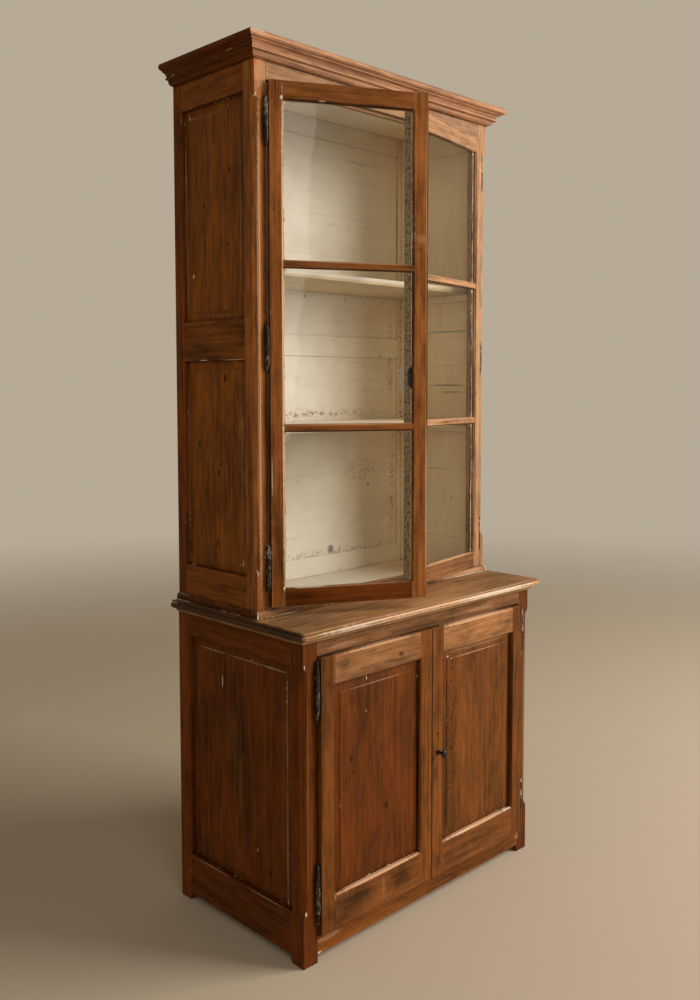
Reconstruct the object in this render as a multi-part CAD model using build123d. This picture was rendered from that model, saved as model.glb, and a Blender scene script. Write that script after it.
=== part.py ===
from build123d import *
import math
import os

# An old stained pine cabinet in two parts: a glazed display case over a cupboard with panelled doors.
# X runs to the right seen from the front, Y runs to the back, Z runs up. Sizes are in millimetres.
# While the pieces are drawn, X 0 is the middle of the front, Y 0 the front face of the lower case
# and Z 0 the floor. At the end everything moves back or forward so that Y 0 is the middle of the
# ground that the cabinet takes up with its glazed doors standing ajar.

# Overall sizes
lower_width = 890.0
lower_depth = 496.0
waist_height = 813.0
cabinet_height = 2200.0
foot_height = 20.0
upper_setback = 166.0
upper_inset = 2.5

# Waist board
board_thick = 30.0
board_overhang = 25.0

# Lower case frame
lower_post_width = 44.5
lower_post_depth = 43.0
lower_back_post_width = 40.0
lower_rail_thick = 26.0
lower_front_rail_height = 38.0
lower_front_foot_rail_height = 46.0
lower_side_top_rail_height = 59.0
lower_side_foot_rail_height = 105.0
lower_back_rail_height = 60.0
lower_back_rail_thick = 21.0
back_plank_count = 5
back_plank_thick = 14.0
back_plank_tongue = 5.0
lower_floor_thick = 16.0
lower_shelf_height = 405.0
lower_shelf_setback = 55.0

# Upper case frame
upper_post_width = 35.2
upper_post_depth = 42.0
upper_back_post_size = 34.0
upper_rail_thick = 22.0
frieze_rail_thick = 24.0
frieze_rail_height = 50.0
upper_foot_rail_height = 24.0
upper_side_top_rail_height = 75.0
upper_side_middle_rail_height = 99.0
upper_side_middle_rail_foot = 631.0
upper_side_foot_rail_height = 97.0
back_frame_thick = 16.0
back_frame_inset = 6.0
back_stile_width = 19.0
back_top_rail_height = 55.0
back_middle_rail_height = 61.0
back_middle_rail_foot = 654.0
back_foot_rail_height = 57.0
back_panel_thick = 7.0
shelf_thick = 18.0
shelf_gap = 0.5
shelf_below_bar = 10.0
bearer_height = 20.0
bearer_thick = 14.0
roof_thick = 16.0

# Cornice and the moulding at the foot of the upper case
cornice_height = 50.0
cornice_reach = 45.0
foot_moulding_height = 18.0
foot_moulding_reach = 8.0

# Joinery
tenon_length = 20.0
tenon_share = 3.0
tenon_shoulder = 10.0
joint_clearance = 0.1
panel_tongue = 8.0
panel_tongue_thick = 7.0
groove_clearance = 0.2
panel_margin = 24.0
panel_step = 2.0
side_panel_recess = 8.5
side_tongue_set = 13.0
door_panel_recess = 8.0
door_tongue_set = 13.0
stop_lip = 8.0
stop_lip_gap = 0.5
stopped_chamfer = 12.0
lower_chamfer_foot = 129.0
lower_chamfer_head = 58.0
upper_chamfer_foot = 107.0
upper_chamfer_head = 84.0
chamfer_run_out = 16.0

# Doors
hinge_gap = 1.8
door_gap = 2.0
meeting_gap = 2.0
lower_door_thick = 26.0
lower_door_proud = 13.5
lower_door_stile = 45.0
lower_door_top_rail = 73.0
lower_door_foot_rail = 87.0
upper_door_thick = 22.0
upper_door_proud = 12.0
upper_door_hinge_stile = 33.0
upper_door_meeting_stile = 39.0
upper_door_top_rail = 45.0
upper_door_foot_rail = 45.0
glazing_bar_height = 20.0
middle_pane_height = 375.5
lower_pane_height = 383.0
glass_thick = 3.0
glass_set = 10.0
glass_rebate = 7.0
glass_clearance = 0.5
edge_bevel = 4.0

# How far each glazed door stands open, in degrees
left_glazed_door_angle = 27.6
right_glazed_door_angle = 11.2

# Barrel hinges
barrel_radius = 6.0
knuckle_length = 56.0
leaf_inset = 5.0
knuckle_gap = 0.3
pin_radius = 3.0
pin_clearance = 0.05
pin_length = 40.0
pin_end_room = 1.0
leaf_thick = 1.4
leaf_depth = 15.0
barrel_clearance = 0.5
upper_hinge_end = 96.0
lower_hinge_from_top = 80.0
lower_hinge_from_foot = 105.0

# Locks, keepers and the knob
lock_length = 44.0
lock_height = 62.0
lock_thick = 13.0
lock_edge_set = 1.5
bolt_length = 36.0
bolt_height = 16.0
bolt_thick = 6.0
bolt_set = 3.5
bolt_clearance = 0.05
bolt_rise = 12.0
bolt_travel = 10.0
keeper_plate_thick = 2.5
keeper_box_length = 14.0
keeper_height = 58.0
keeper_room = 0.5
upper_lock_height = 1401.0
lower_lock_height = 469.0
keyhole_edge = 23.0
keyhole_drop = 12.0
keyhole_radius = 3.5
keyhole_slot = 3.0
keyhole_length = 13.0
knob_height = 407.0
knob_edge = 23.0
knob_head_radius = 12.0
knob_head_depth = 14.0
knob_reach = 28.0
knob_shank_radius = 4.5
knob_spigot_radius = 3.0
knob_spigot_length = 12.0

# Places that follow from the sizes
lower_half = lower_width / 2
upper_half = lower_half - upper_inset
board_foot = waist_height - board_thick
upper_front = upper_setback
upper_head = cabinet_height - cornice_height + 6.0
roof_head = upper_head + roof_thick
lower_post_inner = lower_half - lower_post_width
upper_post_inner = upper_half - upper_post_width
axis_to_door_edge = barrel_radius + barrel_clearance
axis_ahead = barrel_radius + barrel_clearance
lower_door_outer = lower_post_inner - hinge_gap
upper_door_outer = upper_post_inner - hinge_gap
door_inner = meeting_gap / 2
lower_door_foot = foot_height + lower_front_foot_rail_height + door_gap
lower_door_head = board_foot - lower_front_rail_height - door_gap
upper_door_foot = waist_height + upper_foot_rail_height + door_gap
upper_door_head = upper_head - frieze_rail_height - door_gap
lower_door_face = -lower_door_proud
lower_door_back = lower_door_face + lower_door_thick
upper_door_face = upper_front - upper_door_proud
upper_door_back = upper_door_face + upper_door_thick
lower_axis_x = lower_door_outer + axis_to_door_edge
lower_axis_y = -axis_ahead
upper_axis_x = upper_door_outer + axis_to_door_edge
upper_axis_y = upper_front - axis_ahead
lower_side_opening = (foot_height + lower_side_foot_rail_height, board_foot - lower_side_top_rail_height)
upper_side_middle_foot = waist_height + upper_side_middle_rail_foot
upper_side_middle_head = upper_side_middle_foot + upper_side_middle_rail_height
upper_side_openings = [
    (waist_height + upper_side_foot_rail_height, upper_side_middle_foot),
    (upper_side_middle_head, upper_head - upper_side_top_rail_height),
]
pane_foot = upper_door_foot + upper_door_foot_rail
lower_bar_foot = pane_foot + lower_pane_height
upper_bar_foot = lower_bar_foot + glazing_bar_height + middle_pane_height
pane_head = upper_door_head - upper_door_top_rail
pane_rows = [
    (pane_foot, lower_bar_foot),
    (lower_bar_foot + glazing_bar_height, upper_bar_foot),
    (upper_bar_foot + glazing_bar_height, pane_head),
]
shelf_heads = [
    lower_bar_foot + glazing_bar_height - shelf_below_bar,
    upper_bar_foot + glazing_bar_height - shelf_below_bar,
]
back_frame_face = lower_depth - back_frame_inset - back_frame_thick
lower_back_rail_face = lower_depth - lower_post_depth
lower_plank_face = lower_back_rail_face + lower_back_rail_thick
upper_back_post_face = lower_depth - upper_back_post_size
upper_side_front = upper_front + upper_post_depth
lower_floor_head = foot_height + lower_front_foot_rail_height + stop_lip - 4.0


# Small helpers


def block(x0, x1, y0, y1, z0, z1):
    """A straight piece between two opposite corners."""
    piece = Box(x1 - x0, y1 - y0, z1 - z0, align=(Align.MIN, Align.MIN, Align.MIN))
    return Pos(x0, y0, z0) * piece


def grown(corners, by):
    """The same corners, moved apart by a clearance on every side."""
    x0, x1, y0, y1, z0, z1 = corners
    return (x0 - by, x1 + by, y0 - by, y1 + by, z0 - by, z1 + by)


def mirrored(piece):
    """The same piece on the other side of the cabinet."""
    return piece.mirror(Plane.YZ)


def facing_front(width, height, x, y, z):
    """A rectangle that faces the front, centred at x and z."""
    plane = Plane(origin=(x, y, z), x_dir=(1, 0, 0), z_dir=(0, -1, 0))
    return plane * Rectangle(width, height)


def tenons_across(corners):
    """The two tenons of a rail that runs from left to right."""
    x0, x1, y0, y1, z0, z1 = corners
    middle = (y0 + y1) / 2
    half = (y1 - y0) / tenon_share / 2
    low = z0 + min(tenon_shoulder, (z1 - z0) / 4)
    high = z1 - min(tenon_shoulder, (z1 - z0) / 4)
    left = (x0 - tenon_length, x0, middle - half, middle + half, low, high)
    right = (x1, x1 + tenon_length, middle - half, middle + half, low, high)
    return [left, right]


def tenons_back(corners):
    """The two tenons of a rail that runs from front to back."""
    x0, x1, y0, y1, z0, z1 = corners
    middle = (x0 + x1) / 2
    half = (x1 - x0) / tenon_share / 2
    low = z0 + min(tenon_shoulder, (z1 - z0) / 4)
    high = z1 - min(tenon_shoulder, (z1 - z0) / 4)
    front = (middle - half, middle + half, y0 - tenon_length, y0, low, high)
    back = (middle - half, middle + half, y1, y1 + tenon_length, low, high)
    return [front, back]


def with_tenons(piece, tenons):
    """A rail with its tenons."""
    for tenon in tenons:
        piece = piece + block(*tenon)
    return piece


def with_mortises(piece, tenons):
    """A post or stile with a mortise for each tenon."""
    for tenon in tenons:
        piece = piece - block(*grown(tenon, joint_clearance))
    return piece


def raised_panel(width, height, recess, tongue_set):
    """A fielded panel that faces the front, its opening's lower left corner at the origin."""
    x = width / 2
    z = height / 2
    tongue = block(
        -panel_tongue, width + panel_tongue,
        tongue_set, tongue_set + panel_tongue_thick,
        -panel_tongue, height + panel_tongue,
    )
    edge_width = width - 2 * groove_clearance
    edge_height = height - 2 * groove_clearance
    field_width = width - 2 * panel_margin
    field_height = height - 2 * panel_margin
    slope = loft([
        facing_front(edge_width, edge_height, x, tongue_set, z),
        facing_front(field_width, field_height, x, recess + panel_step, z),
    ])
    field = block(
        panel_margin, width - panel_margin,
        recess, tongue_set,
        panel_margin, height - panel_margin,
    )
    return tongue + slope + field


def groove_cutter(width, height, tongue_set):
    """The room that a panel's tongue takes in the frame round it."""
    reach = panel_tongue + groove_clearance
    return block(
        -reach, width + reach,
        tongue_set - groove_clearance, tongue_set + panel_tongue_thick + groove_clearance,
        -reach, height + reach,
    )


def bevel_cutter(width, height, leg):
    """Takes a mitred bevel off the face round an opening whose lower left corner is at the origin."""
    x = width / 2
    z = height / 2
    over = 1.0
    return loft([
        facing_front(width, height, x, leg, z),
        facing_front(width + 2 * (leg + over), height + 2 * (leg + over), x, -over, z),
    ])


def to_left_side(piece, side_face, front, foot):
    """Turns a piece that faces the front until it faces left, and puts it on the left side."""
    turned = piece.rotate(Axis.Z, -90)
    back = front + piece_span(turned)
    return Pos(side_face, back, foot) * turned


def piece_span(piece):
    """How far a turned panel reaches forward of its origin, less its tongue."""
    return -piece.bounding_box().min.Y - panel_tongue


def stopped_chamfer_cutter(foot, head, x, y):
    """Takes the front left edge off a post between two heights, with a slope at each end."""
    depth = stopped_chamfer / math.sqrt(2)
    over = 5.0
    plane = Plane(origin=(x, y, 0), x_dir=(1, 1, 0), z_dir=(1, -1, 0))
    outline = Polyline(
        (-over, foot - chamfer_run_out * over / depth),
        (depth, foot + chamfer_run_out),
        (depth, head - chamfer_run_out),
        (-over, head + chamfer_run_out * over / depth),
        close=True,
    )
    face = make_face(plane * outline)
    return extrude(face, amount=stopped_chamfer * 2, both=True)


# Lower case


def lower_rail_corners():
    """The corners of the lower case's rails, by name. The side rails are those of the left side."""
    side = -lower_half
    front = lower_post_depth
    back = lower_depth - lower_post_depth
    inner = lower_post_inner
    back_inner = lower_half - lower_back_post_width
    back_y0 = lower_back_rail_face
    back_y1 = lower_back_rail_face + lower_back_rail_thick
    return {
        "front_top": (
            -inner, inner, 0, lower_rail_thick,
            board_foot - lower_front_rail_height, board_foot,
        ),
        "front_foot": (
            -inner, inner, 0, lower_rail_thick,
            foot_height, foot_height + lower_front_foot_rail_height,
        ),
        "side_top": (
            side, side + lower_rail_thick, front, back,
            lower_side_opening[1], board_foot,
        ),
        "side_foot": (
            side, side + lower_rail_thick, front, back,
            foot_height, lower_side_opening[0],
        ),
        "back_top": (
            -back_inner, back_inner, back_y0, back_y1,
            board_foot - lower_back_rail_height, board_foot,
        ),
        "back_foot": (
            -back_inner, back_inner, back_y0, back_y1,
            foot_height, foot_height + lower_back_rail_height,
        ),
    }


def lower_front_post():
    """The front left post, whose lower end is the foot."""
    rails = lower_rail_corners()
    post = block(-lower_half, -lower_post_inner, 0, lower_post_depth, 0, board_foot)
    tenons = [
        tenons_across(rails["front_top"])[0],
        tenons_across(rails["front_foot"])[0],
        tenons_back(rails["side_top"])[0],
        tenons_back(rails["side_foot"])[0],
    ]
    post = with_mortises(post, tenons)
    post = post - lower_side_groove()
    head = board_foot - lower_chamfer_head
    return post - stopped_chamfer_cutter(lower_chamfer_foot, head, -lower_half, 0)


def lower_back_post():
    """The back left post."""
    rails = lower_rail_corners()
    post = block(
        -lower_half, -lower_half + lower_back_post_width,
        lower_depth - lower_post_depth, lower_depth,
        0, board_foot,
    )
    tenons = [
        tenons_across(rails["back_top"])[0],
        tenons_across(rails["back_foot"])[0],
        tenons_back(rails["side_top"])[1],
        tenons_back(rails["side_foot"])[1],
    ]
    return with_mortises(post, tenons) - lower_side_groove()


def lower_side_size():
    """The width and height of the lower side panel's opening."""
    width = lower_depth - 2 * lower_post_depth
    height = lower_side_opening[1] - lower_side_opening[0]
    return width, height


def lower_side_panel():
    """The fielded panel of the lower case's left side."""
    width, height = lower_side_size()
    panel = raised_panel(width, height, side_panel_recess, side_tongue_set)
    return to_left_side(panel, -lower_half, lower_post_depth, lower_side_opening[0])


def lower_side_groove():
    """The groove that holds the lower side panel."""
    width, height = lower_side_size()
    cutter = groove_cutter(width, height, side_tongue_set)
    turned = cutter.rotate(Axis.Z, -90)
    return Pos(-lower_half, lower_post_depth + width, lower_side_opening[0]) * turned


def lower_side_rails():
    """The top and foot rails of the lower case's left side."""
    rails = lower_rail_corners()
    pieces = []
    for name in ("side_top", "side_foot"):
        rail = with_tenons(block(*rails[name]), tenons_back(rails[name]))
        pieces.append(rail - lower_side_groove())
    return pieces


def front_rail(corners, lip_side, lip_front):
    """A front rail with a lip behind the doors that stops them."""
    x0, x1, y0, y1, z0, z1 = corners
    rail = with_tenons(block(*corners), tenons_across(corners))
    lip_foot = z0 - stop_lip if lip_side < 0 else z1
    return rail + block(x0, x1, lip_front, y1, lip_foot, lip_foot + stop_lip)


def lower_front_rails():
    """The rails above and below the lower doors."""
    rails = lower_rail_corners()
    lip = lower_door_back + stop_lip_gap
    top = front_rail(rails["front_top"], -1, lip)
    foot = front_rail(rails["front_foot"], 1, lip)
    return top, foot


def lower_back_rails():
    """The rails that the back planks are nailed to."""
    rails = lower_rail_corners()
    pieces = []
    for name in ("back_top", "back_foot"):
        pieces.append(with_tenons(block(*rails[name]), tenons_across(rails[name])))
    return pieces


def lower_back_planks():
    """Upright tongued and grooved planks that close the back."""
    inner = lower_half - lower_back_post_width
    pitch = 2 * inner / back_plank_count
    y0 = lower_plank_face
    y1 = y0 + back_plank_thick
    third = back_plank_thick / 3
    planks = []
    for i in range(back_plank_count):
        x0 = -inner + i * pitch
        x1 = x0 + pitch
        first = i == 0
        last = i == back_plank_count - 1
        plank = block(x0 + groove_clearance, x1 - groove_clearance, y0, y1, foot_height, board_foot)
        if not last:
            plank = plank + block(
                x1 - 1, x1 + back_plank_tongue, y0 + third, y1 - third, foot_height, board_foot
            )
        if not first:
            plank = plank - block(
                x0, x0 + back_plank_tongue + groove_clearance,
                y0 + third - groove_clearance, y1 - third + groove_clearance,
                foot_height - 1, board_foot + 1,
            )
        planks.append(plank)
    return planks


def case_board(half, front, back, foot, thick, posts):
    """A floor or shelf with its corners cut out round the posts."""
    board = block(-half, half, front, back, foot, foot + thick)
    for corners in posts:
        cut = block(*grown(corners, shelf_gap))
        board = board - cut - mirrored(cut)
    return board


def lower_post_corners():
    """The corners of the two left posts of the lower case."""
    return [
        (-lower_half, -lower_post_inner, 0, lower_post_depth, 0, board_foot),
        (
            -lower_half, -lower_half + lower_back_post_width,
            lower_depth - lower_post_depth, lower_depth, 0, board_foot,
        ),
    ]


def lower_inner_half():
    """Half of the width between the lower side rails, less a gap."""
    return lower_half - lower_rail_thick - shelf_gap


def lower_floor():
    """The cupboard's floor."""
    return case_board(
        lower_inner_half(), lower_rail_thick, lower_back_rail_face,
        lower_floor_head - lower_floor_thick, lower_floor_thick, lower_post_corners(),
    )


def lower_shelf():
    """The cupboard's one shelf."""
    return case_board(
        lower_inner_half(), lower_shelf_setback, lower_back_rail_face + lower_back_rail_thick,
        lower_shelf_height - shelf_thick, shelf_thick, lower_post_corners(),
    )


def bearer(inner_face, front, back, head):
    """A batten on the left side that a shelf lies on."""
    return block(inner_face, inner_face + bearer_thick, front, back, head - bearer_height, head)


def shelf_bearers():
    """Battens on both sides, under the floor and shelves."""
    lower_face = -lower_half + lower_rail_thick
    upper_face = -upper_half + upper_rail_thick
    left = []
    for head in (lower_floor_head - lower_floor_thick, lower_shelf_height - shelf_thick):
        back = lower_depth - lower_post_depth
        left.append(bearer(lower_face, lower_post_depth, back, head))
    for shelf_head in shelf_heads:
        head = shelf_head - shelf_thick
        left.append(bearer(upper_face, upper_side_front, upper_back_post_face, head))
    return left + [mirrored(piece) for piece in left]


# Waist board


def waist_board():
    """The board between the two cases, with a moulded edge on the front and both sides."""
    over = board_overhang
    head = waist_height
    outline_points = edge_outline()
    width = lower_half + over
    side_face = make_face(
        Plane.XZ
        * mirrored_outline([(lower_half + x, head - z) for x, z in outline_points])
    )
    sides = extrude(side_face, amount=lower_depth + over * 2, dir=(0, 1, 0))
    sides = Pos(0, -over * 1.5, 0) * sides
    front_points = [(-x, head - z) for x, z in outline_points]
    front_line = Polyline(
        (lower_depth, head),
        *front_points,
        (lower_depth, board_foot),
        close=True,
    )
    front = extrude(make_face(Plane.YZ * front_line), amount=width, both=True)
    return sides & front


def edge_outline():
    """The moulded edge of the waist board: how far out of the case and how far down, point by point."""
    reach = board_overhang
    nose = arc_points(reach - 8.0, 12.5, 8.0, -60, 60, 5)
    hollow = arc_points(reach - 9.0, board_thick, 9.0, 250, 180, 4)
    start = [(reach - 5.0, 0), (reach - 3.5, 1.5), (reach - 3.5, 4.0), (reach - 6.0, 4.6)]
    return start + nose + hollow


def arc_points(x, z, radius, first, last, count):
    """Points along an arc, by angles in degrees; 0 is outwards and 90 is down."""
    points = []
    for i in range(count + 1):
        angle = math.radians(first + (last - first) * i / count)
        points.append((x + radius * math.cos(angle), z + radius * math.sin(angle)))
    return points


def mirrored_outline(points):
    """A closed outline that is the same on both sides of X 0."""
    left = [(-x, z) for x, z in reversed(points)]
    return Polyline(*points, *left, close=True)


# Upper case


def upper_rail_corners():
    """The corners of the upper case's rails, by name. The side rails are those of the left side."""
    side = -upper_half
    side_inner = side + upper_rail_thick
    front = upper_side_front
    back = upper_back_post_face
    inner = upper_post_inner
    return {
        "frieze": (
            -inner, inner, upper_front, upper_front + frieze_rail_thick,
            upper_head - frieze_rail_height, upper_head,
        ),
        "front_foot": (
            -inner, inner, upper_front, upper_front + frieze_rail_thick,
            waist_height, waist_height + upper_foot_rail_height,
        ),
        "side_top": (side, side_inner, front, back, upper_side_openings[1][1], upper_head),
        "side_middle": (side, side_inner, front, back, upper_side_middle_foot, upper_side_middle_head),
        "side_foot": (side, side_inner, front, back, waist_height, upper_side_openings[0][0]),
    }


def upper_side_width():
    """The width of the upper side panels' openings."""
    return upper_back_post_face - upper_side_front


def upper_side_panels():
    """The two fielded panels of the upper case's left side."""
    panels = []
    for foot, head in upper_side_openings:
        panel = raised_panel(upper_side_width(), head - foot, side_panel_recess, side_tongue_set)
        panels.append(to_left_side(panel, -upper_half, upper_side_front, foot))
    return panels


def without_upper_side_grooves(piece):
    """A post or rail of the left side with the grooves that hold the two panels."""
    width = upper_side_width()
    for foot, head in upper_side_openings:
        cutter = groove_cutter(width, head - foot, side_tongue_set).rotate(Axis.Z, -90)
        piece = piece - Pos(-upper_half, upper_side_front + width, foot) * cutter
    return piece


def upper_front_post():
    """The front left post of the upper case."""
    rails = upper_rail_corners()
    post = block(
        -upper_half, -upper_post_inner, upper_front, upper_side_front, waist_height, upper_head
    )
    tenons = [
        tenons_across(rails["frieze"])[0],
        tenons_across(rails["front_foot"])[0],
        tenons_back(rails["side_top"])[0],
        tenons_back(rails["side_middle"])[0],
        tenons_back(rails["side_foot"])[0],
    ]
    post = without_upper_side_grooves(with_mortises(post, tenons))
    foot = waist_height + upper_chamfer_foot
    head = upper_head - upper_chamfer_head
    return post - stopped_chamfer_cutter(foot, head, -upper_half, upper_front)


def upper_back_post():
    """The back left post of the upper case."""
    rails = upper_rail_corners()
    post = block(
        -upper_half, -upper_half + upper_back_post_size,
        upper_back_post_face, lower_depth, waist_height, upper_head,
    )
    tenons = [
        tenons_back(rails["side_top"])[1],
        tenons_back(rails["side_middle"])[1],
        tenons_back(rails["side_foot"])[1],
    ]
    return without_upper_side_grooves(with_mortises(post, tenons))


def upper_side_rails():
    """The three rails of the upper case's left side."""
    rails = upper_rail_corners()
    pieces = []
    for name in ("side_top", "side_middle", "side_foot"):
        rail = with_tenons(block(*rails[name]), tenons_back(rails[name]))
        pieces.append(without_upper_side_grooves(rail))
    return pieces


def upper_front_rails():
    """The frieze rail over the glazed doors and the rail under them."""
    rails = upper_rail_corners()
    lip = upper_door_back + stop_lip_gap
    frieze = front_rail(rails["frieze"], -1, lip)
    foot = front_rail(rails["front_foot"], 1, lip)
    return frieze, foot


def back_rail_spans():
    """The foot and head of the back frame's three rails."""
    middle = waist_height + back_middle_rail_foot
    return [
        (waist_height, waist_height + back_foot_rail_height),
        (middle, middle + back_middle_rail_height),
        (upper_head - back_top_rail_height, upper_head),
    ]


def upper_back_frame():
    """The framed back: two stiles and three rails, grooved for two wide panels."""
    half = upper_half - upper_back_post_size
    y0 = back_frame_face
    y1 = y0 + back_frame_thick
    inner = half - back_stile_width
    rails = [(-inner, inner, y0, y1, foot, head) for foot, head in back_rail_spans()]
    stile = block(-half, -inner, y0, y1, waist_height, upper_head)
    pieces = []
    for corners in rails:
        rail = block(*corners)
        for panel in back_panel_corners():
            rail = rail - block(*grown(panel, groove_clearance))
        pieces.append(rail)
    for panel in back_panel_corners():
        stile = stile - block(*grown(panel, groove_clearance))
    return [stile, mirrored(stile)] + pieces


def back_panel_corners():
    """The corners of the two thin back panels, tongues included."""
    inner = upper_half - upper_back_post_size - back_stile_width + panel_tongue
    y0 = back_frame_face + (back_frame_thick - back_panel_thick) / 2
    spans = back_rail_spans()
    corners = []
    for below, above in ((spans[0], spans[1]), (spans[1], spans[2])):
        corners.append((
            -inner, inner, y0, y0 + back_panel_thick,
            below[1] - panel_tongue, above[0] + panel_tongue,
        ))
    return corners


def upper_back_panels():
    """The two wide, flat back panels."""
    return [block(*corners) for corners in back_panel_corners()]


def upper_shelf(head):
    """A shelf of the display case, with a softened front edge."""
    post = (
        -upper_half, -upper_half + upper_back_post_size,
        upper_back_post_face, lower_depth, waist_height, upper_head,
    )
    half = upper_half - upper_rail_thick - shelf_gap
    front = upper_side_front + shelf_gap
    shelf = case_board(half, front, back_frame_face, head - shelf_thick, shelf_thick, [post])
    front_edges = shelf.edges().filter_by(Axis.X).sort_by(Axis.Y)[:2]
    return fillet(front_edges, shelf_thick / 6)


def roof_board():
    """The boarded top, which lies on the posts and rails inside the cornice."""
    return block(-upper_half, upper_half, upper_front, lower_depth, upper_head, roof_head)


# Mouldings


def mitred_run(outline, half, front, back):
    """A moulding along the front and both sides of a case, mitred at the two corners.

    The outline holds points as (out from the case, height). Returns the front, left and right pieces.
    """
    reach = max(x for x, z in outline)
    long_half = half + reach
    front_line = Polyline(*[(front - x, z) for x, z in outline], close=True)
    front_run = extrude(make_face(Plane.YZ * front_line), amount=long_half, both=True)
    corner = Polyline((half, front), (half + reach * 2, front - reach * 2), (half + reach * 2, front), close=True)
    wedge = extrude(make_face(Plane.XY * corner), amount=cabinet_height * 2, dir=(0, 0, 1))
    front_piece = front_run - wedge - mirrored(wedge)
    side_line = Polyline(*[(-half - x, z) for x, z in outline], close=True)
    side_run = extrude(make_face(Plane.XZ * side_line), amount=back - front + reach, dir=(0, 1, 0))
    side_run = Pos(0, front - reach, 0) * side_run
    keep = Polyline((-half, front), (-half - reach * 2, front - reach * 2), (-half, front - reach * 2), close=True)
    cut = extrude(make_face(Plane.XY * keep), amount=cabinet_height * 2, dir=(0, 0, 1))
    left_piece = side_run - cut
    return [front_piece, left_piece, mirrored(left_piece)]


def cornice():
    """The crown moulding: nose, fillet, hollow, fillet and a small ovolo, from the top down."""
    reach = cornice_reach
    top = cabinet_height
    nose_radius = 8.5
    nose = arc_points(reach - nose_radius, nose_radius, nose_radius, -90, 90, 6)
    hollow = arc_points(reach - 13.0, 33.0, 12.0, 265, 180, 4)
    ovolo = arc_points(reach - 41.0, 39.0, 11.0, 0, 80, 4)
    drop = [
        *nose,
        (reach - 11.0, 17.5),
        (reach - 11.0, 20.0),
        (reach - 13.0, 20.5),
        *hollow,
        (reach - 21.0, 33.5),
        (reach - 21.0, 37.0),
        (reach - 29.0, 38.0),
        *ovolo,
    ]
    outline = [(0.0, top)] + [(x, top - z) for x, z in drop] + [(0.0, top - cornice_height)]
    return mitred_run(outline, upper_half, upper_front, lower_depth)


def foot_moulding():
    """The small round moulding at the foot of the upper case."""
    reach = foot_moulding_reach
    head = waist_height + foot_moulding_height
    top = arc_points(0.0, reach, reach, 270, 360, 4)
    outline = [(x, head - z) for x, z in top]
    outline = outline + [(reach, waist_height), (0.0, waist_height)]
    return mitred_run(outline, upper_half, upper_front, lower_depth)


# Hinges


def knuckle():
    """A hinge barrel that stands on the origin."""
    return Cylinder(barrel_radius, knuckle_length, align=(Align.CENTER, Align.CENTER, Align.MIN))


def case_hinge_half():
    """The lower half of a left hinge, fixed to the post, with the pin. The origin is on the axis."""
    head = -knuckle_gap / 2
    foot = head - knuckle_length
    half = Pos(0, 0, foot) * knuckle()
    pin_foot = head - pin_radius
    half = half + Pos(0, 0, pin_foot) * Cylinder(
        pin_radius, pin_length - pin_foot, align=(Align.CENTER, Align.CENTER, Align.MIN)
    )
    reveal = axis_to_door_edge - hinge_gap
    return half + block(reveal, reveal + leaf_thick, 0, leaf_depth, foot + leaf_inset, head - knuckle_gap)


def door_hinge_half():
    """The upper half of a left hinge, fixed to the door, which lifts off the pin."""
    foot = knuckle_gap / 2
    head = foot + knuckle_length
    half = Pos(0, 0, foot) * knuckle()
    half = half + block(
        axis_to_door_edge - leaf_thick, axis_to_door_edge,
        0, leaf_depth,
        foot + knuckle_gap, head - leaf_inset,
    )
    bore = Cylinder(
        pin_radius + pin_clearance,
        pin_length + pin_end_room + 1.0,
        align=(Align.CENTER, Align.CENTER, Align.MIN),
    )
    return half - Pos(0, 0, -1.0) * bore


def upper_hinge_heights():
    """The middle of each of a glazed door's three hinges."""
    return [
        upper_door_foot + upper_hinge_end,
        (upper_door_foot + upper_door_head) / 2,
        upper_door_head - upper_hinge_end,
    ]


def lower_hinge_heights():
    """The middle of each of a lower door's two hinges."""
    return [lower_door_foot + lower_hinge_from_foot, lower_door_head - lower_hinge_from_top]


def left_hinges(half):
    """One half of the hinges of the left doors: the upper door's list and the lower door's list."""
    upper = [Pos(-upper_axis_x, upper_axis_y, z) * half for z in upper_hinge_heights()]
    lower = [Pos(-lower_axis_x, lower_axis_y, z) * half for z in lower_hinge_heights()]
    return upper, lower


# Glazed doors


def glazed_door_sizes(hinge_side):
    """The stile edges of the left glazed door, from its hinge edge to its meeting edge."""
    x0 = -upper_door_outer
    x3 = -door_inner
    return x0, x0 + upper_door_hinge_stile, x3 - upper_door_meeting_stile, x3


def pane_cutters():
    """For each pane of the left glazed door, the rebate behind and the bevel in front."""
    x0, x1, x2, x3 = glazed_door_sizes(-1)
    cutters = []
    for foot, head in pane_rows:
        rebate = block(
            x1 - glass_rebate, x2 + glass_rebate,
            upper_door_face + glass_set, upper_door_back + 1,
            foot - glass_rebate, head + glass_rebate,
        )
        bevel = Pos(x1, upper_door_face, foot) * bevel_cutter(x2 - x1, head - foot, edge_bevel)
        cutters.append(rebate)
        cutters.append(bevel)
    return cutters


def glazed_rail_corners():
    """The corners of the left glazed door's top and foot rails."""
    x0, x1, x2, x3 = glazed_door_sizes(-1)
    face, back = upper_door_face, upper_door_back
    return [
        (x1, x2, face, back, pane_head, upper_door_head),
        (x1, x2, face, back, upper_door_foot, pane_foot),
    ]


def glazing_bar_corners():
    """The corners of the left glazed door's two glazing bars."""
    x0, x1, x2, x3 = glazed_door_sizes(-1)
    face, back = upper_door_face, upper_door_back
    feet = (lower_bar_foot, upper_bar_foot)
    return [(x1, x2, face, back, foot, foot + glazing_bar_height) for foot in feet]


def bar_tenons(corners):
    """The short tenons of a glazing bar, as thin as its web."""
    x0, x1, y0, y1, z0, z1 = corners
    web = (y0 + glass_set, y1 - glass_set / 2, z0 + glass_rebate, z1 - glass_rebate)
    length = tenon_length / 2
    return [(x0 - length, x0, *web), (x1, x1 + length, *web)]


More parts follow.
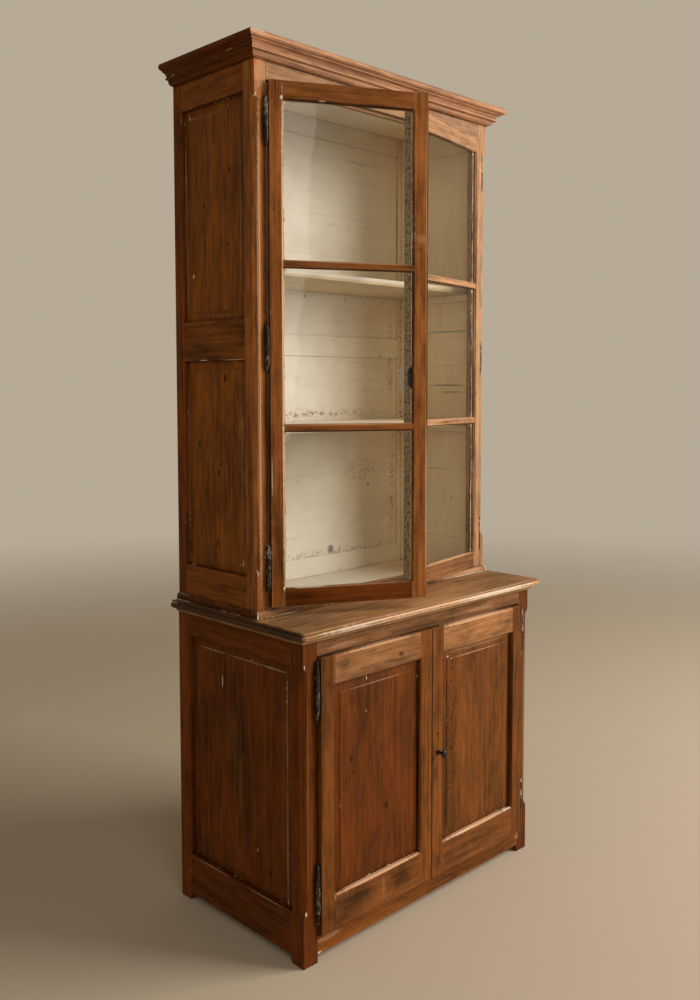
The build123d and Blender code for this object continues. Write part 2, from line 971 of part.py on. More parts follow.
def glazed_door():
    """The left glazed door, closed: its hinge stile, meeting stile, rails, bars and panes."""
    x0, x1, x2, x3 = glazed_door_sizes(-1)
    face, back = upper_door_face, upper_door_back
    rails = glazed_rail_corners()
    bars = glazing_bar_corners()
    tenons = [tenon for corners in rails for tenon in tenons_across(corners)]
    tenons = tenons + [tenon for corners in bars for tenon in bar_tenons(corners)]
    hinge_stile = block(x0, x1, face, back, upper_door_foot, upper_door_head)
    meeting_stile = block(x2, x3, face, back, upper_door_foot, upper_door_head)
    rail_pieces = [with_tenons(block(*c), tenons_across(c)) for c in rails]
    bar_pieces = []
    for corners in bars:
        bar_pieces.append(block(*corners))
    stiles = [hinge_stile, meeting_stile]
    for cutter in pane_cutters():
        stiles = [piece - cutter for piece in stiles]
        rail_pieces = [piece - cutter for piece in rail_pieces]
        bar_pieces = [piece - cutter for piece in bar_pieces]
    stiles = [with_mortises(piece, tenons) for piece in stiles]
    bar_pieces = [with_tenons(piece, bar_tenons(c)) for piece, c in zip(bar_pieces, bars)]
    panes = []
    for foot, head in pane_rows:
        grow = glass_rebate - glass_clearance
        panes.append(block(
            x1 - grow, x2 + grow,
            face + glass_set, face + glass_set + glass_thick,
            foot - grow, head + grow,
        ))
    return stiles[0], stiles[1], rail_pieces, bar_pieces, panes


# Panelled doors


def panelled_door_rails():
    """The corners of the left panelled door's top and foot rails."""
    x1 = -lower_door_outer + lower_door_stile
    x2 = -door_inner - lower_door_stile
    face, back = lower_door_face, lower_door_back
    return [
        (x1, x2, face, back, lower_door_head - lower_door_top_rail, lower_door_head),
        (x1, x2, face, back, lower_door_foot, lower_door_foot + lower_door_foot_rail),
    ]


def panelled_door():
    """The left panelled door: its hinge stile, meeting stile, rails and fielded panel."""
    x0 = -lower_door_outer
    x1 = x0 + lower_door_stile
    x3 = -door_inner
    x2 = x3 - lower_door_stile
    face, back = lower_door_face, lower_door_back
    rails = panelled_door_rails()
    foot = lower_door_foot + lower_door_foot_rail
    head = lower_door_head - lower_door_top_rail
    place = Pos(x1, face, foot)
    bevel = place * bevel_cutter(x2 - x1, head - foot, edge_bevel)
    groove = place * groove_cutter(x2 - x1, head - foot, door_tongue_set)
    tenons = [tenon for corners in rails for tenon in tenons_across(corners)]
    stiles = []
    for left, right in ((x0, x1), (x2, x3)):
        stile = block(left, right, face, back, lower_door_foot, lower_door_head)
        stile = with_mortises(stile, tenons)
        stiles.append(stile - bevel - groove)
    rail_pieces = []
    for corners in rails:
        rail = with_tenons(block(*corners), tenons_across(corners))
        rail_pieces.append(rail - bevel - groove)
    panel = place * raised_panel(x2 - x1, head - foot, door_panel_recess, door_tongue_set)
    return stiles[0], stiles[1], rail_pieces, panel


# Locks, keepers and knob


def keyhole_cutter(x, front, back, height):
    """A keyhole from front to back: a round hole with a slot under it."""
    plane = Plane(origin=(x, back, height), x_dir=(1, 0, 0), z_dir=(0, -1, 0))
    hole = plane * Circle(keyhole_radius)
    slot = plane * Pos(0, -keyhole_length / 2, 0) * Rectangle(keyhole_slot, keyhole_length)
    return extrude(hole, amount=back - front) + extrude(slot, amount=back - front)


def lock_places(back, height):
    """The corners of a lock's case, bolt and bolt channel on a right door with its back face at back."""
    x0 = door_inner + lock_edge_set
    case = (x0, x0 + lock_length, back, back + lock_thick, height - lock_height / 2, height + lock_height / 2)
    z0 = height + bolt_rise - bolt_height / 2
    bolt = (
        x0 + bolt_clearance, x0 + bolt_clearance + bolt_length,
        back + bolt_set, back + bolt_set + bolt_thick, z0, z0 + bolt_height,
    )
    return case, bolt


def rim_lock(back, height):
    """The iron case of a rim lock and its sliding bolt, on the back of a right door."""
    case, bolt = lock_places(back, height)
    body = block(*case)
    channel = grown(bolt, bolt_clearance)
    body = body - block(*channel)
    keyhole_x = door_inner + keyhole_edge
    body = body - keyhole_cutter(keyhole_x, back - 1, back + lock_thick / 2, height - keyhole_drop)
    return body, block(*bolt)


def lock_keeper(back, height):
    """The iron keeper on the back of a left door: a plate with pointed ends and a box for the bolt."""
    case, bolt = lock_places(back, height)
    x1 = -door_inner - lock_edge_set
    x0 = x1 - lock_length
    half = keeper_height / 2
    slant = lock_length / 4
    outline = Polyline(
        (x0, height - half + slant),
        (x0 + slant, height - half),
        (x1, height - half),
        (x1, height + half),
        (x0 + slant, height + half),
        (x0, height + half - slant),
        close=True,
    )
    plane = Plane(origin=(0, back + keeper_plate_thick, 0), x_dir=(1, 0, 0), z_dir=(0, -1, 0))
    plate = extrude(make_face(plane * outline), amount=keeper_plate_thick, dir=(0, -1, 0))
    room = grown(bolt, keeper_room)
    wall = 3.0
    box = block(
        x1 - keeper_box_length, x1,
        back, room[3] + wall,
        room[4] - wall, room[5] + wall,
    )
    pocket_x0 = -bolt_travel - keeper_room
    pocket = block(pocket_x0, x1 + 1, room[2], room[3], room[4], room[5])
    return plate + box - pocket


def knob():
    """The turned knob of the right lower door, with its spigot in the stile."""
    outline = Polyline(
        (0, -knob_spigot_length),
        (knob_spigot_radius, -knob_spigot_length),
        (knob_spigot_radius, 0),
        (knob_shank_radius, 0),
        (knob_shank_radius, knob_reach - knob_head_depth),
        (knob_head_radius, knob_reach - knob_head_depth),
        (knob_head_radius, knob_reach),
        (0, knob_reach),
        close=True,
    )
    turned = revolve(make_face(Plane.XZ * outline), Axis.Z)
    return Pos(door_inner + knob_edge, lower_door_face, knob_height) * turned.rotate(Axis.X, 90)


def knob_hole():
    """The hole in the stile for the knob's spigot."""
    depth = knob_spigot_length + pin_end_room
    hole = Cylinder(
        knob_spigot_radius + joint_clearance, depth + 1, align=(Align.CENTER, Align.CENTER, Align.MIN)
    )
    hole = hole.rotate(Axis.X, -90)
    return Pos(door_inner + knob_edge, lower_door_face - 1, knob_height) * hole


# The whole cabinet


def swung(pieces, side):
    """Glazed door pieces turned about their hinge pins to where the door stands ajar."""
    angle = -left_glazed_door_angle if side < 0 else right_glazed_door_angle
    axis = Axis((side * upper_axis_x, upper_axis_y, 0), (0, 0, 1))
    return [piece.rotate(axis, angle) for piece in pieces]


def front_reach():
    """How far the foremost point stands ahead of the lower case."""
    angle = math.radians(left_glazed_door_angle)
    width = upper_axis_x - door_inner
    ahead = upper_door_proud - axis_ahead
    door_corner = width * math.sin(angle) + ahead * math.cos(angle) - upper_axis_y
    return max(door_corner, lower_door_proud + knob_reach, board_overhang)


def lower_case_nodes():
    """The fixed pieces of the lower case and the waist board."""
    post = lower_front_post()
    back_post = lower_back_post()
    top_rail, foot_rail = lower_front_rails()
    side_rails = lower_side_rails()
    panel = lower_side_panel()
    return {
        "lower_front_left_post": [post],
        "lower_front_right_post": [mirrored(post)],
        "lower_back_posts": [back_post, mirrored(back_post)],
        "lower_front_top_rail": [top_rail],
        "lower_front_foot_rail": [foot_rail],
        "lower_left_side_rails": side_rails,
        "lower_right_side_rails": [mirrored(rail) for rail in side_rails],
        "lower_left_side_panel": [panel],
        "lower_right_side_panel": [mirrored(panel)],
        "lower_back_rails": lower_back_rails(),
        "lower_back_planks": lower_back_planks(),
        "lower_floor": [lower_floor()],
        "lower_shelf": [lower_shelf()],
        "waist_board": [waist_board()],
    }


def upper_case_nodes():
    """The fixed pieces of the upper case."""
    post = upper_front_post()
    back_post = upper_back_post()
    frieze, foot_rail = upper_front_rails()
    side_rails = upper_side_rails()
    panels = upper_side_panels()
    return {
        "upper_front_left_post": [post],
        "upper_front_right_post": [mirrored(post)],
        "upper_back_posts": [back_post, mirrored(back_post)],
        "frieze_rail": [frieze],
        "upper_front_foot_rail": [foot_rail],
        "upper_left_side_rails": side_rails,
        "upper_right_side_rails": [mirrored(rail) for rail in side_rails],
        "upper_left_side_panels": panels,
        "upper_right_side_panels": [mirrored(piece) for piece in panels],
        "upper_back_frame": upper_back_frame(),
        "upper_back_panels": upper_back_panels(),
        "upper_shelves": [upper_shelf(head) for head in shelf_heads],
        "shelf_bearers": shelf_bearers(),
        "roof_board": [roof_board()],
        "cornice": cornice(),
        "foot_moulding": foot_moulding(),
    }


def glazed_door_nodes():
    """Both glazed doors, each standing ajar, with their lock and keeper."""
    hinge_stile, meeting_stile, rails, bars, panes = glazed_door()
    lock_case, bolt = rim_lock(upper_door_back, upper_lock_height)
    keeper = lock_keeper(upper_door_back, upper_lock_height)
    keyhole_height = upper_lock_height - keyhole_drop
    keyhole = keyhole_cutter(
        door_inner + keyhole_edge, upper_door_face - 1, upper_door_back + 1, keyhole_height
    )
    halves, unused = left_hinges(door_hinge_half())
    left = {
        "hinge_stile": [hinge_stile],
        "meeting_stile": [meeting_stile],
        "rails": rails,
        "glazing_bars": bars,
        "panes": panes,
        "hinge_halves": halves,
    }
    nodes = {}
    for part, pieces in left.items():
        other = [mirrored(piece) for piece in pieces]
        if part == "meeting_stile":
            other = [piece - keyhole for piece in other]
        nodes["left_glazed_door_" + part] = swung(pieces, -1)
        nodes["right_glazed_door_" + part] = swung(other, 1)
    nodes["left_glazed_door_keeper"] = swung([keeper], -1)
    nodes["right_glazed_door_lock"] = swung([lock_case], 1)
    nodes["glazed_door_lock_bolt"] = swung([bolt], 1)
    return nodes


def panelled_door_nodes():
    """Both panelled doors, closed, with their lock, keeper and knob."""
    hinge_stile, meeting_stile, rails, panel = panelled_door()
    lock_case, bolt = rim_lock(lower_door_back, lower_lock_height)
    keeper = lock_keeper(lower_door_back, lower_lock_height)
    keyhole_height = lower_lock_height - keyhole_drop
    keyhole = keyhole_cutter(
        door_inner + keyhole_edge, lower_door_face - 1, lower_door_back + 1, keyhole_height
    )
    unused, halves = left_hinges(door_hinge_half())
    return {
        "left_panelled_door_hinge_stile": [hinge_stile],
        "left_panelled_door_meeting_stile": [meeting_stile],
        "left_panelled_door_rails": rails,
        "left_panelled_door_panel": [panel],
        "left_panelled_door_hinge_halves": halves,
        "left_panelled_door_keeper": [keeper],
        "right_panelled_door_hinge_stile": [mirrored(hinge_stile)],
        "right_panelled_door_meeting_stile": [mirrored(meeting_stile) - keyhole - knob_hole()],
        "right_panelled_door_rails": [mirrored(rail) for rail in rails],
        "right_panelled_door_panel": [mirrored(panel)],
        "right_panelled_door_hinge_halves": [mirrored(half) for half in halves],
        "right_panelled_door_lock": [lock_case],
        "panelled_door_lock_bolt": [bolt],
        "right_panelled_door_knob": [knob()],
    }


def case_hinge_nodes():
    """The fixed halves of all ten hinges."""
    upper, lower = left_hinges(case_hinge_half())
    left = upper + lower
    return {"case_hinge_halves": left + [mirrored(half) for half in left]}


def main():
    """Writes every piece to parts/, moved so that Y 0 is the middle of the cabinet's ground."""
    os.makedirs("parts", exist_ok=True)
    shift = (front_reach() - lower_depth) / 2
    nodes = {}
    nodes.update(lower_case_nodes())
    nodes.update(upper_case_nodes())
    nodes.update(glazed_door_nodes())
    nodes.update(panelled_door_nodes())
    nodes.update(case_hinge_nodes())
    for name, pieces in nodes.items():
        solids = [Pos(0, shift, 0) * solid for piece in pieces for solid in piece.solids()]
        shape = solids[0] if len(solids) == 1 else Compound(children=solids)
        export_step(shape, "parts/" + name + ".step")
    print("nodes", len(nodes), "front to origin", round(lower_depth / 2 + front_reach() / 2, 3))


main()
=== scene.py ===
import math
import random

import bmesh
import bpy
from mathutils import Matrix, Vector


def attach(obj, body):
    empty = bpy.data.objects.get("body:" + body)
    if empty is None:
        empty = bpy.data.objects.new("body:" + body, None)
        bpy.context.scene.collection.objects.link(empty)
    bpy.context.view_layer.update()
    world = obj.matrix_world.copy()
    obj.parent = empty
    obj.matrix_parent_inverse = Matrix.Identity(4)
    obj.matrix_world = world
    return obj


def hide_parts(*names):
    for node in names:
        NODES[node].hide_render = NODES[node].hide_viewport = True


# The looks of an old stained pine cabinet with cream paint inside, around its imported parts.
# X runs to the right seen from the front, Y to the back and Z up. Lengths are in metres.

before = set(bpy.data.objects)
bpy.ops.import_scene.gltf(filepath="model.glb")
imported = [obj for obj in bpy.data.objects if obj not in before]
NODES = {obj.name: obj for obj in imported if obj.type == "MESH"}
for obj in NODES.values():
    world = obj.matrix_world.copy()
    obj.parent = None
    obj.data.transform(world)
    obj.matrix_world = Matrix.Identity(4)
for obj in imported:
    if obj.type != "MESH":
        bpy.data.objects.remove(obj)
bpy.context.view_layer.update()
bpy.ops.object.select_all(action="DESELECT")

# Where the doors hang, and how far they stand open at rest
LEFT_GLAZED_AXIS = (-0.412, -0.06775)
RIGHT_GLAZED_AXIS = (0.412, -0.06775)
LEFT_GLAZED_ANGLE = math.radians(-27.6)
RIGHT_GLAZED_ANGLE = math.radians(11.2)
LOWER_AXIS = (0.4052, -0.23375)

# The main faces of the case
UPPER_SIDE = 0.4425
UPPER_FRONT = -0.06125
BACK_FACE = 0.26875
SIDE_SKIN = 0.012
BACK_SKIN = 0.003
POST_INNER_FACE = -0.0195
BOARD_INSIDE_REACH = 0.43
RAIL_SKIN = 0.012
EASED_EDGE = 0.0009

# The glazed doors, shut
GLAZED_FACE = -0.07325
GLASS_FRONT = GLAZED_FACE + 0.010
GLASS_BACK = GLASS_FRONT + 0.003
GLAZED_BACK = GLAZED_FACE + 0.022
GLASS_REBATE = 0.007
PANE_SPAN = (0.040, 0.3725)
PANE_ROWS = ((0.884, 1.267), (1.287, 1.6625), (1.6825, 2.059))
GLAZED_MIDDLE = 1.48
GLAZED_REACH = 0.62
MEETING_EDGE = 0.0018
FOOT_RAIL_HEAD = 0.95

# The cupboard doors, shut
CUPBOARD_MIDDLE = 0.40
CUPBOARD_FOOT_RAIL_HEAD = 0.2
KNOB_PLACE = (0.024, -0.24075, 0.407)
KEYHOLE_ACROSS = 0.0236
KEYHOLE_PINS = (0.4685, 0.4445)

# Hinges: the height of each one's joint, and the shape of its halves
UPPER_HINGES = (0.935, 1.4715, 2.008)
LOWER_HINGES = (0.173, 0.663)
BARREL_RADIUS = 0.006
BARREL_LENGTH = 0.056
BARREL_GAP = 0.0003
GLAZED_FINIAL = 0.0030
CUPBOARD_FINIAL = 0.0190
LEAF_THICK = 0.0014
LEAF_DEPTH = 0.015
LEAF_REVEAL = (0.0047, 0.0051)
LEAF_CORNER = 0.003
SCREW_SHARES = (0.16, 0.50, 0.84)
SCREW_PROFILE = ((-0.0004, 0.0026), (0.00006, 0.0026), (0.00012, 0.0022), (0.00004, 0.0012))

# Colours, linear
WALNUT_STAIN = (0.126, 0.031, 0.0034)
RUSSET_STAIN = (0.172, 0.055, 0.0100)
AMBER_STAIN = (0.265, 0.082, 0.0100)
CHESTNUT_STAIN = (0.238, 0.083, 0.0205)
HONEY_STAIN = (0.310, 0.142, 0.0580)
FADED_STAIN = (0.395, 0.212, 0.1120)
OAK_STAIN = (0.345, 0.182, 0.0800)
PEACH_WOOD = (0.470, 0.250, 0.1450)
OLIVE_WEAR = (0.370, 0.290, 0.180)
PALE_WEAR = (0.740, 0.520, 0.370)
# Near-black, for dirt and for painted shade in corners
GRIME_AND_SHADE = (0.014, 0.0090, 0.0040)
MOSSY_GRIME = (0.034, 0.029, 0.0140)
# For worn edges and pale marks: wear, and in places painted highlights
WORN_AND_LIT_WOOD = (0.640, 0.400, 0.245)
CREAM = (0.80, 0.735, 0.63)
CREAM_SHADE = (0.52, 0.40, 0.25)
BARE_LIGHT = (0.52, 0.34, 0.17)
BARE_DARK = (0.30, 0.16, 0.065)
RUST = (0.16, 0.060, 0.018)
CRUMB = (0.20, 0.105, 0.040)
PAINT_GRIME = (0.055, 0.060, 0.070)
GOLDEN_WOOD = (0.620, 0.360, 0.200)
IRON = (0.040, 0.034, 0.030)
IRON_RUST = (0.10, 0.035, 0.012)
IRON_RUBBED = (0.22, 0.20, 0.18)
FLAKED_PAINT = (0.36, 0.33, 0.24)
OLD_PUTTY = (0.30, 0.245, 0.17)
PUTTY_SHADE = (0.10, 0.078, 0.05)
TRAIL_PAINT = (0.70, 0.58, 0.46)
TRAIL_DIRT = (0.30, 0.20, 0.11)
GLASS_TINT = (0.975, 0.985, 0.975, 1.0)
GLASS_LIGHT = (0.985, 0.99, 0.985)
YOUNG_CREAM = (0.92, 0.95, 1.01)
OLD_CREAM = (1.05, 0.95, 0.72)

# What darkens the stain, channel by channel
SOOTY = (0.28, 0.26, 0.30)
KNOTTY = (0.20, 0.14, 0.12)
# For dark marks: smudges, and in places painted shade and shadow
SMUDGE_AND_SHADE = (0.22, 0.22, 0.30)

# How surfaces shine, and how deep their relief is
WAXED_SHINE = 0.25
WAXED_TINT = (1.0, 0.66, 0.36, 1.0)
PAINTED_SHINE = 0.35
STAINED_RELIEF = 0.0006
PAINTED_RELIEF = 0.0005
BARE_RELIEF = 0.0008


# Shader graphs


class Graph:
    """Short ways to add and join the nodes of one shader tree."""

    def __init__(self, tree):
        self.tree = tree

    def feed(self, value, socket):
        if isinstance(value, bpy.types.NodeSocket):
            self.tree.links.new(value, socket)
        elif socket.type == "RGBA" and len(value) == 3:
            socket.default_value = (*value, 1.0)
        else:
            socket.default_value = value

    def add(self, kind, inputs=(), **settings):
        node = self.tree.nodes.new(kind)
        for name, value in settings.items():
            setattr(node, name, value)
        for name, value in dict(inputs).items():
            self.feed(value, node.inputs[name])
        return node

    def math(self, operation, a, b=0.0, clamp=False):
        return self.add("ShaderNodeMath", {0: a, 1: b}, operation=operation, use_clamp=clamp).outputs[0]

    def product(self, first, *others):
        for other in others:
            first = self.math("MULTIPLY", first, other)
        return first

    def total(self, first, *others):
        for other in others:
            first = self.math("ADD", first, other)
        return first

    def vector(self, operation, a, b=(0, 0, 0)):
        node = self.add("ShaderNodeVectorMath", {0: a, 1: b}, operation=operation)
        return node.outputs["Value" if operation == "DOT_PRODUCT" else "Vector"]

    def scaled(self, vector, scale):
        return self.vector("MULTIPLY", vector, scale)

    def brightened(self, colour, level):
        return self.add("ShaderNodeVectorMath", {0: colour, "Scale": level}, operation="SCALE").outputs[0]

    def parts(self, vector):
        return self.add("ShaderNodeSeparateXYZ", {0: vector}).outputs

    def noise(self, vector, scale, detail=2.0, roughness=0.5):
        return self.add("ShaderNodeTexNoise", {
            "Vector": vector, "Scale": scale, "Detail": detail, "Roughness": roughness}).outputs[0]

    def ramp(self, value, low, high, start=0.0, end=1.0):
        node = self.add("ShaderNodeMapRange", interpolation_type="SMOOTHSTEP")
        for name, number in zip(("Value", "From Min", "From Max", "To Min", "To Max"),
                                (value, low, high, start, end)):
            self.feed(number, node.inputs[name])
        return node.outputs[0]

    def mix(self, share, a, b):
        return self.add("ShaderNodeMix", {"Factor": share, 6: a, 7: b}, data_type="RGBA").outputs[2]

    def blend_values(self, share, a, b):
        return self.add("ShaderNodeMix", {"Factor": share, 2: a, 3: b}, data_type="FLOAT").outputs[0]

    def blend_vectors(self, share, a, b):
        return self.add("ShaderNodeMix", {"Factor": share, 4: a, 5: b}, data_type="VECTOR").outputs[1]

    def use(self, group, **values):
        node = self.add("ShaderNodeGroup", node_tree=group)
        for name, value in values.items():
            self.feed(value, node.inputs[name.replace("_", " ").title()])
        return node.outputs


SOCKETS = {"number": "NodeSocketFloat", "vector": "NodeSocketVector", "colour": "NodeSocketColor"}


def shader_group(name, inputs, outputs):
    """A node group with its named sockets: its graph, its inputs and its output node."""
    tree = bpy.data.node_groups.new(name, "ShaderNodeTree")
    for title, value in inputs.items():
        kind = "vector" if value is None else "colour" if isinstance(value, tuple) else "number"
        socket = tree.interface.new_socket(title, in_out="INPUT", socket_type=SOCKETS[kind])
        if kind == "colour":
            socket.default_value = (*value, 1.0)
        elif kind == "number":
            socket.default_value = value
    for title, kind in outputs.items():
        tree.interface.new_socket(title, in_out="OUTPUT", socket_type=SOCKETS[kind])
    graph = Graph(tree)
    given = graph.add("NodeGroupInput").outputs
    end = graph.add("NodeGroupOutput").inputs
    return graph, given, end


def make_board_grain():
    """Growth rings, streaks, fibres and blotches of a sawn board. Z runs along the grain, Y into the board."""
    graph, given, end = shader_group(
        "board grain",
        {"Vector": None, "Seed": 0.0, "Ring Width": 0.004, "Heart Across": 0.0, "Heart Depth": 0.06,
         "Slope": 0.0, "Wander": 0.02, "Pull": 0.0},
        {"Rings": "number", "Streaks": "number", "Fibre": "number", "Blotches": "number"},
    )
    seed = given["Seed"]
    offset = graph.add("ShaderNodeCombineXYZ", {0: seed, 1: graph.product(seed, 1.7), 2: graph.product(seed, 2.3)})
    place = graph.vector("ADD", given["Vector"], offset.outputs[0])
    x, y, z = graph.parts(given["Vector"])
    across = graph.math("SUBTRACT", x, given["Heart Across"])
    depth = graph.total(y, given["Heart Depth"])
    reach = graph.math("SQRT", graph.total(graph.product(across, across), graph.product(depth, depth)))
    reach = graph.total(reach, graph.product(z, given["Slope"]))
    drift = graph.math("SUBTRACT", graph.noise(graph.scaled(place, (1.0, 1.0, 0.25)), 6.0, 2.0), 0.5)
    ripple = graph.math("SUBTRACT", graph.noise(graph.scaled(place, (1.0, 1.0, 0.14)), 48.0, 2.0), 0.5)
    reach = graph.total(reach, graph.product(drift, given["Wander"]), graph.product(ripple, 0.004), given["Pull"])
    line = graph.add("ShaderNodeCombineXYZ", {0: graph.product(reach, 55.0), 1: seed, 2: 0.0}).outputs[0]
    uneven = graph.math("SUBTRACT", graph.noise(line, 1.0, 2.0), 0.5)
    reach = graph.total(reach, graph.product(uneven, 0.016))
    count = graph.math("DIVIDE", reach, given["Ring Width"])
    turn = graph.math("FRACT", count)
    each = graph.add("ShaderNodeTexWhiteNoise", {"W": graph.total(graph.math("FLOOR", count), seed)},
                     noise_dimensions="1D").outputs[0]
    late = graph.product(graph.ramp(turn, 0.25, 0.88), graph.ramp(turn, 0.92, 1.0, 1.0, 0.0))
    graph.feed(graph.product(late, graph.ramp(each, 0.0, 1.0, 0.30, 1.0)), end["Rings"])
    fine = graph.noise(graph.scaled(place, (1.0, 1.0, 0.030)), 105.0, 3.0, 0.60)
    wide = graph.noise(graph.scaled(place, (1.0, 1.0, 0.10)), 24.0, 3.0, 0.60)
    graph.feed(graph.total(graph.product(fine, 0.68), graph.product(wide, 0.32)), end["Streaks"])
    graph.feed(graph.noise(graph.scaled(place, (1.0, 1.0, 0.010)), 640.0, 2.0, 0.6), end["Fibre"])
    graph.feed(graph.noise(graph.scaled(place, (1.0, 1.0, 0.38)), 9.0, 4.0, 0.60), end["Blotches"])
    return graph.tree


def make_knot():
    """A knot in a board: how it bends the rings round it, and its dark heart."""
    graph, given, end = shader_group(
        "knot",
        {"Vector": None, "Across": 0.0, "Along": 0.0, "Size": 0.01, "Pull": 0.0, "Heart": 0.0},
        {"Pull": "number", "Heart": "number"},
    )
    x, _, z = graph.parts(given["Vector"])
    dx = graph.math("SUBTRACT", x, given["Across"])
    dz = graph.product(graph.math("SUBTRACT", z, given["Along"]), 0.60)
    distance = graph.math("SQRT", graph.total(graph.product(dx, dx), graph.product(dz, dz)))
    rough = graph.math("SUBTRACT", graph.noise(given["Vector"], 90.0, 2.0), 0.5)
    share = graph.total(graph.math("DIVIDE", distance, given["Size"]), graph.product(rough, 0.5))
    fall = graph.math("POWER", 2.718, graph.product(share, share, -0.10))
    graph.feed(graph.total(given["Pull"], graph.product(fall, given["Size"], -1.6)), end["Pull"])
    graph.feed(graph.math("MAXIMUM", given["Heart"], graph.ramp(share, 0.70, 1.10, 0.85, 0.0)), end["Heart"])
    return graph.tree


def make_face_mark():
    """A soft ragged patch on a face, added to what was marked before it."""
    graph, given, end = shader_group(
        "face mark",
        {"Across": 0.0, "Along": 0.0, "Ragged": 0.5, "At Across": 0.0, "At Along": 0.0, "Half Width": 0.01,
         "Half Length": 0.01, "Strength": 1.0, "Core": 0.6, "Before": 0.0},
        {"Cover": "number"},
    )
    dx = graph.math("DIVIDE", graph.math("SUBTRACT", given["Across"], given["At Across"]), given["Half Width"])
    dz = graph.math("DIVIDE", graph.math("SUBTRACT", given["Along"], given["At Along"]), given["Half Length"])
    distance = graph.math("SQRT", graph.total(graph.product(dx, dx), graph.product(dz, dz)))
    distance = graph.total(distance, graph.product(graph.math("SUBTRACT", given["Ragged"], 0.5), 1.1))
    cover = graph.product(graph.ramp(distance, given["Core"], 1.10, 1.0, 0.0), given["Strength"])
    graph.feed(graph.math("MAXIMUM", given["Before"], cover), end["Cover"])
    return graph.tree


def make_edge_wear():
    """Where edges are rubbed pale, where chips of old paint sit, and how dark the corners get: dirt there, and
    painted shade.
    """
    graph, given, end = shader_group(
        "edge wear",
        {"Vector": None, "Radius": 0.003, "Wear": 0.5, "Paint": 0.3},
        {"Wear": "number", "Paint": "number", "Grime": "number"},
    )
    soft = graph.add("ShaderNodeBevel", {"Radius": given["Radius"]}, samples=4).outputs[0]
    plain = graph.add("ShaderNodeNewGeometry").outputs["Normal"]
    bend = graph.math("SUBTRACT", 1.0, graph.vector("DOT_PRODUCT", soft, plain))
    edge = graph.math("MULTIPLY", bend, 3.2, clamp=True)
    # Corners closed in by nearby surfaces, found by ambient occlusion, are marked for dirt and for painted shade.
    openness = graph.add("ShaderNodeAmbientOcclusion", {"Distance": 0.008}, samples=4).outputs["AO"]
    grime = graph.ramp(openness, 0.40, 0.90, 1.0, 0.0)
    outer = graph.ramp(openness, 0.55, 0.85)
    coarse = graph.noise(given["Vector"], 26.0, 4.0, 0.65)
    rubbed = graph.product(graph.ramp(coarse, 0.32, 0.68, 0.25, 1.0), given["Wear"])
    graph.feed(graph.product(edge, outer, rubbed), end["Wear"])
    speckle = graph.noise(given["Vector"], 130.0, 3.0, 0.7)
    patch = graph.noise(given["Vector"], 9.0, 3.0, 0.6)
    level = graph.total(graph.product(speckle, 0.55), graph.product(patch, 0.9), graph.product(given["Paint"], 0.16))
    near_edge = graph.math("MAXIMUM", graph.ramp(edge, 0.10, 0.40), graph.product(graph.ramp(grime, 0.5, 0.9), 0.8))
    graph.feed(graph.product(graph.ramp(level, 0.90, 0.96), near_edge), end["Paint"])
    graph.feed(grime, end["Grime"])
    return graph.tree


BOARD_GRAIN = make_board_grain()
KNOT = make_knot()
FACE_MARK = make_face_mark()
EDGE_WEAR = make_edge_wear()


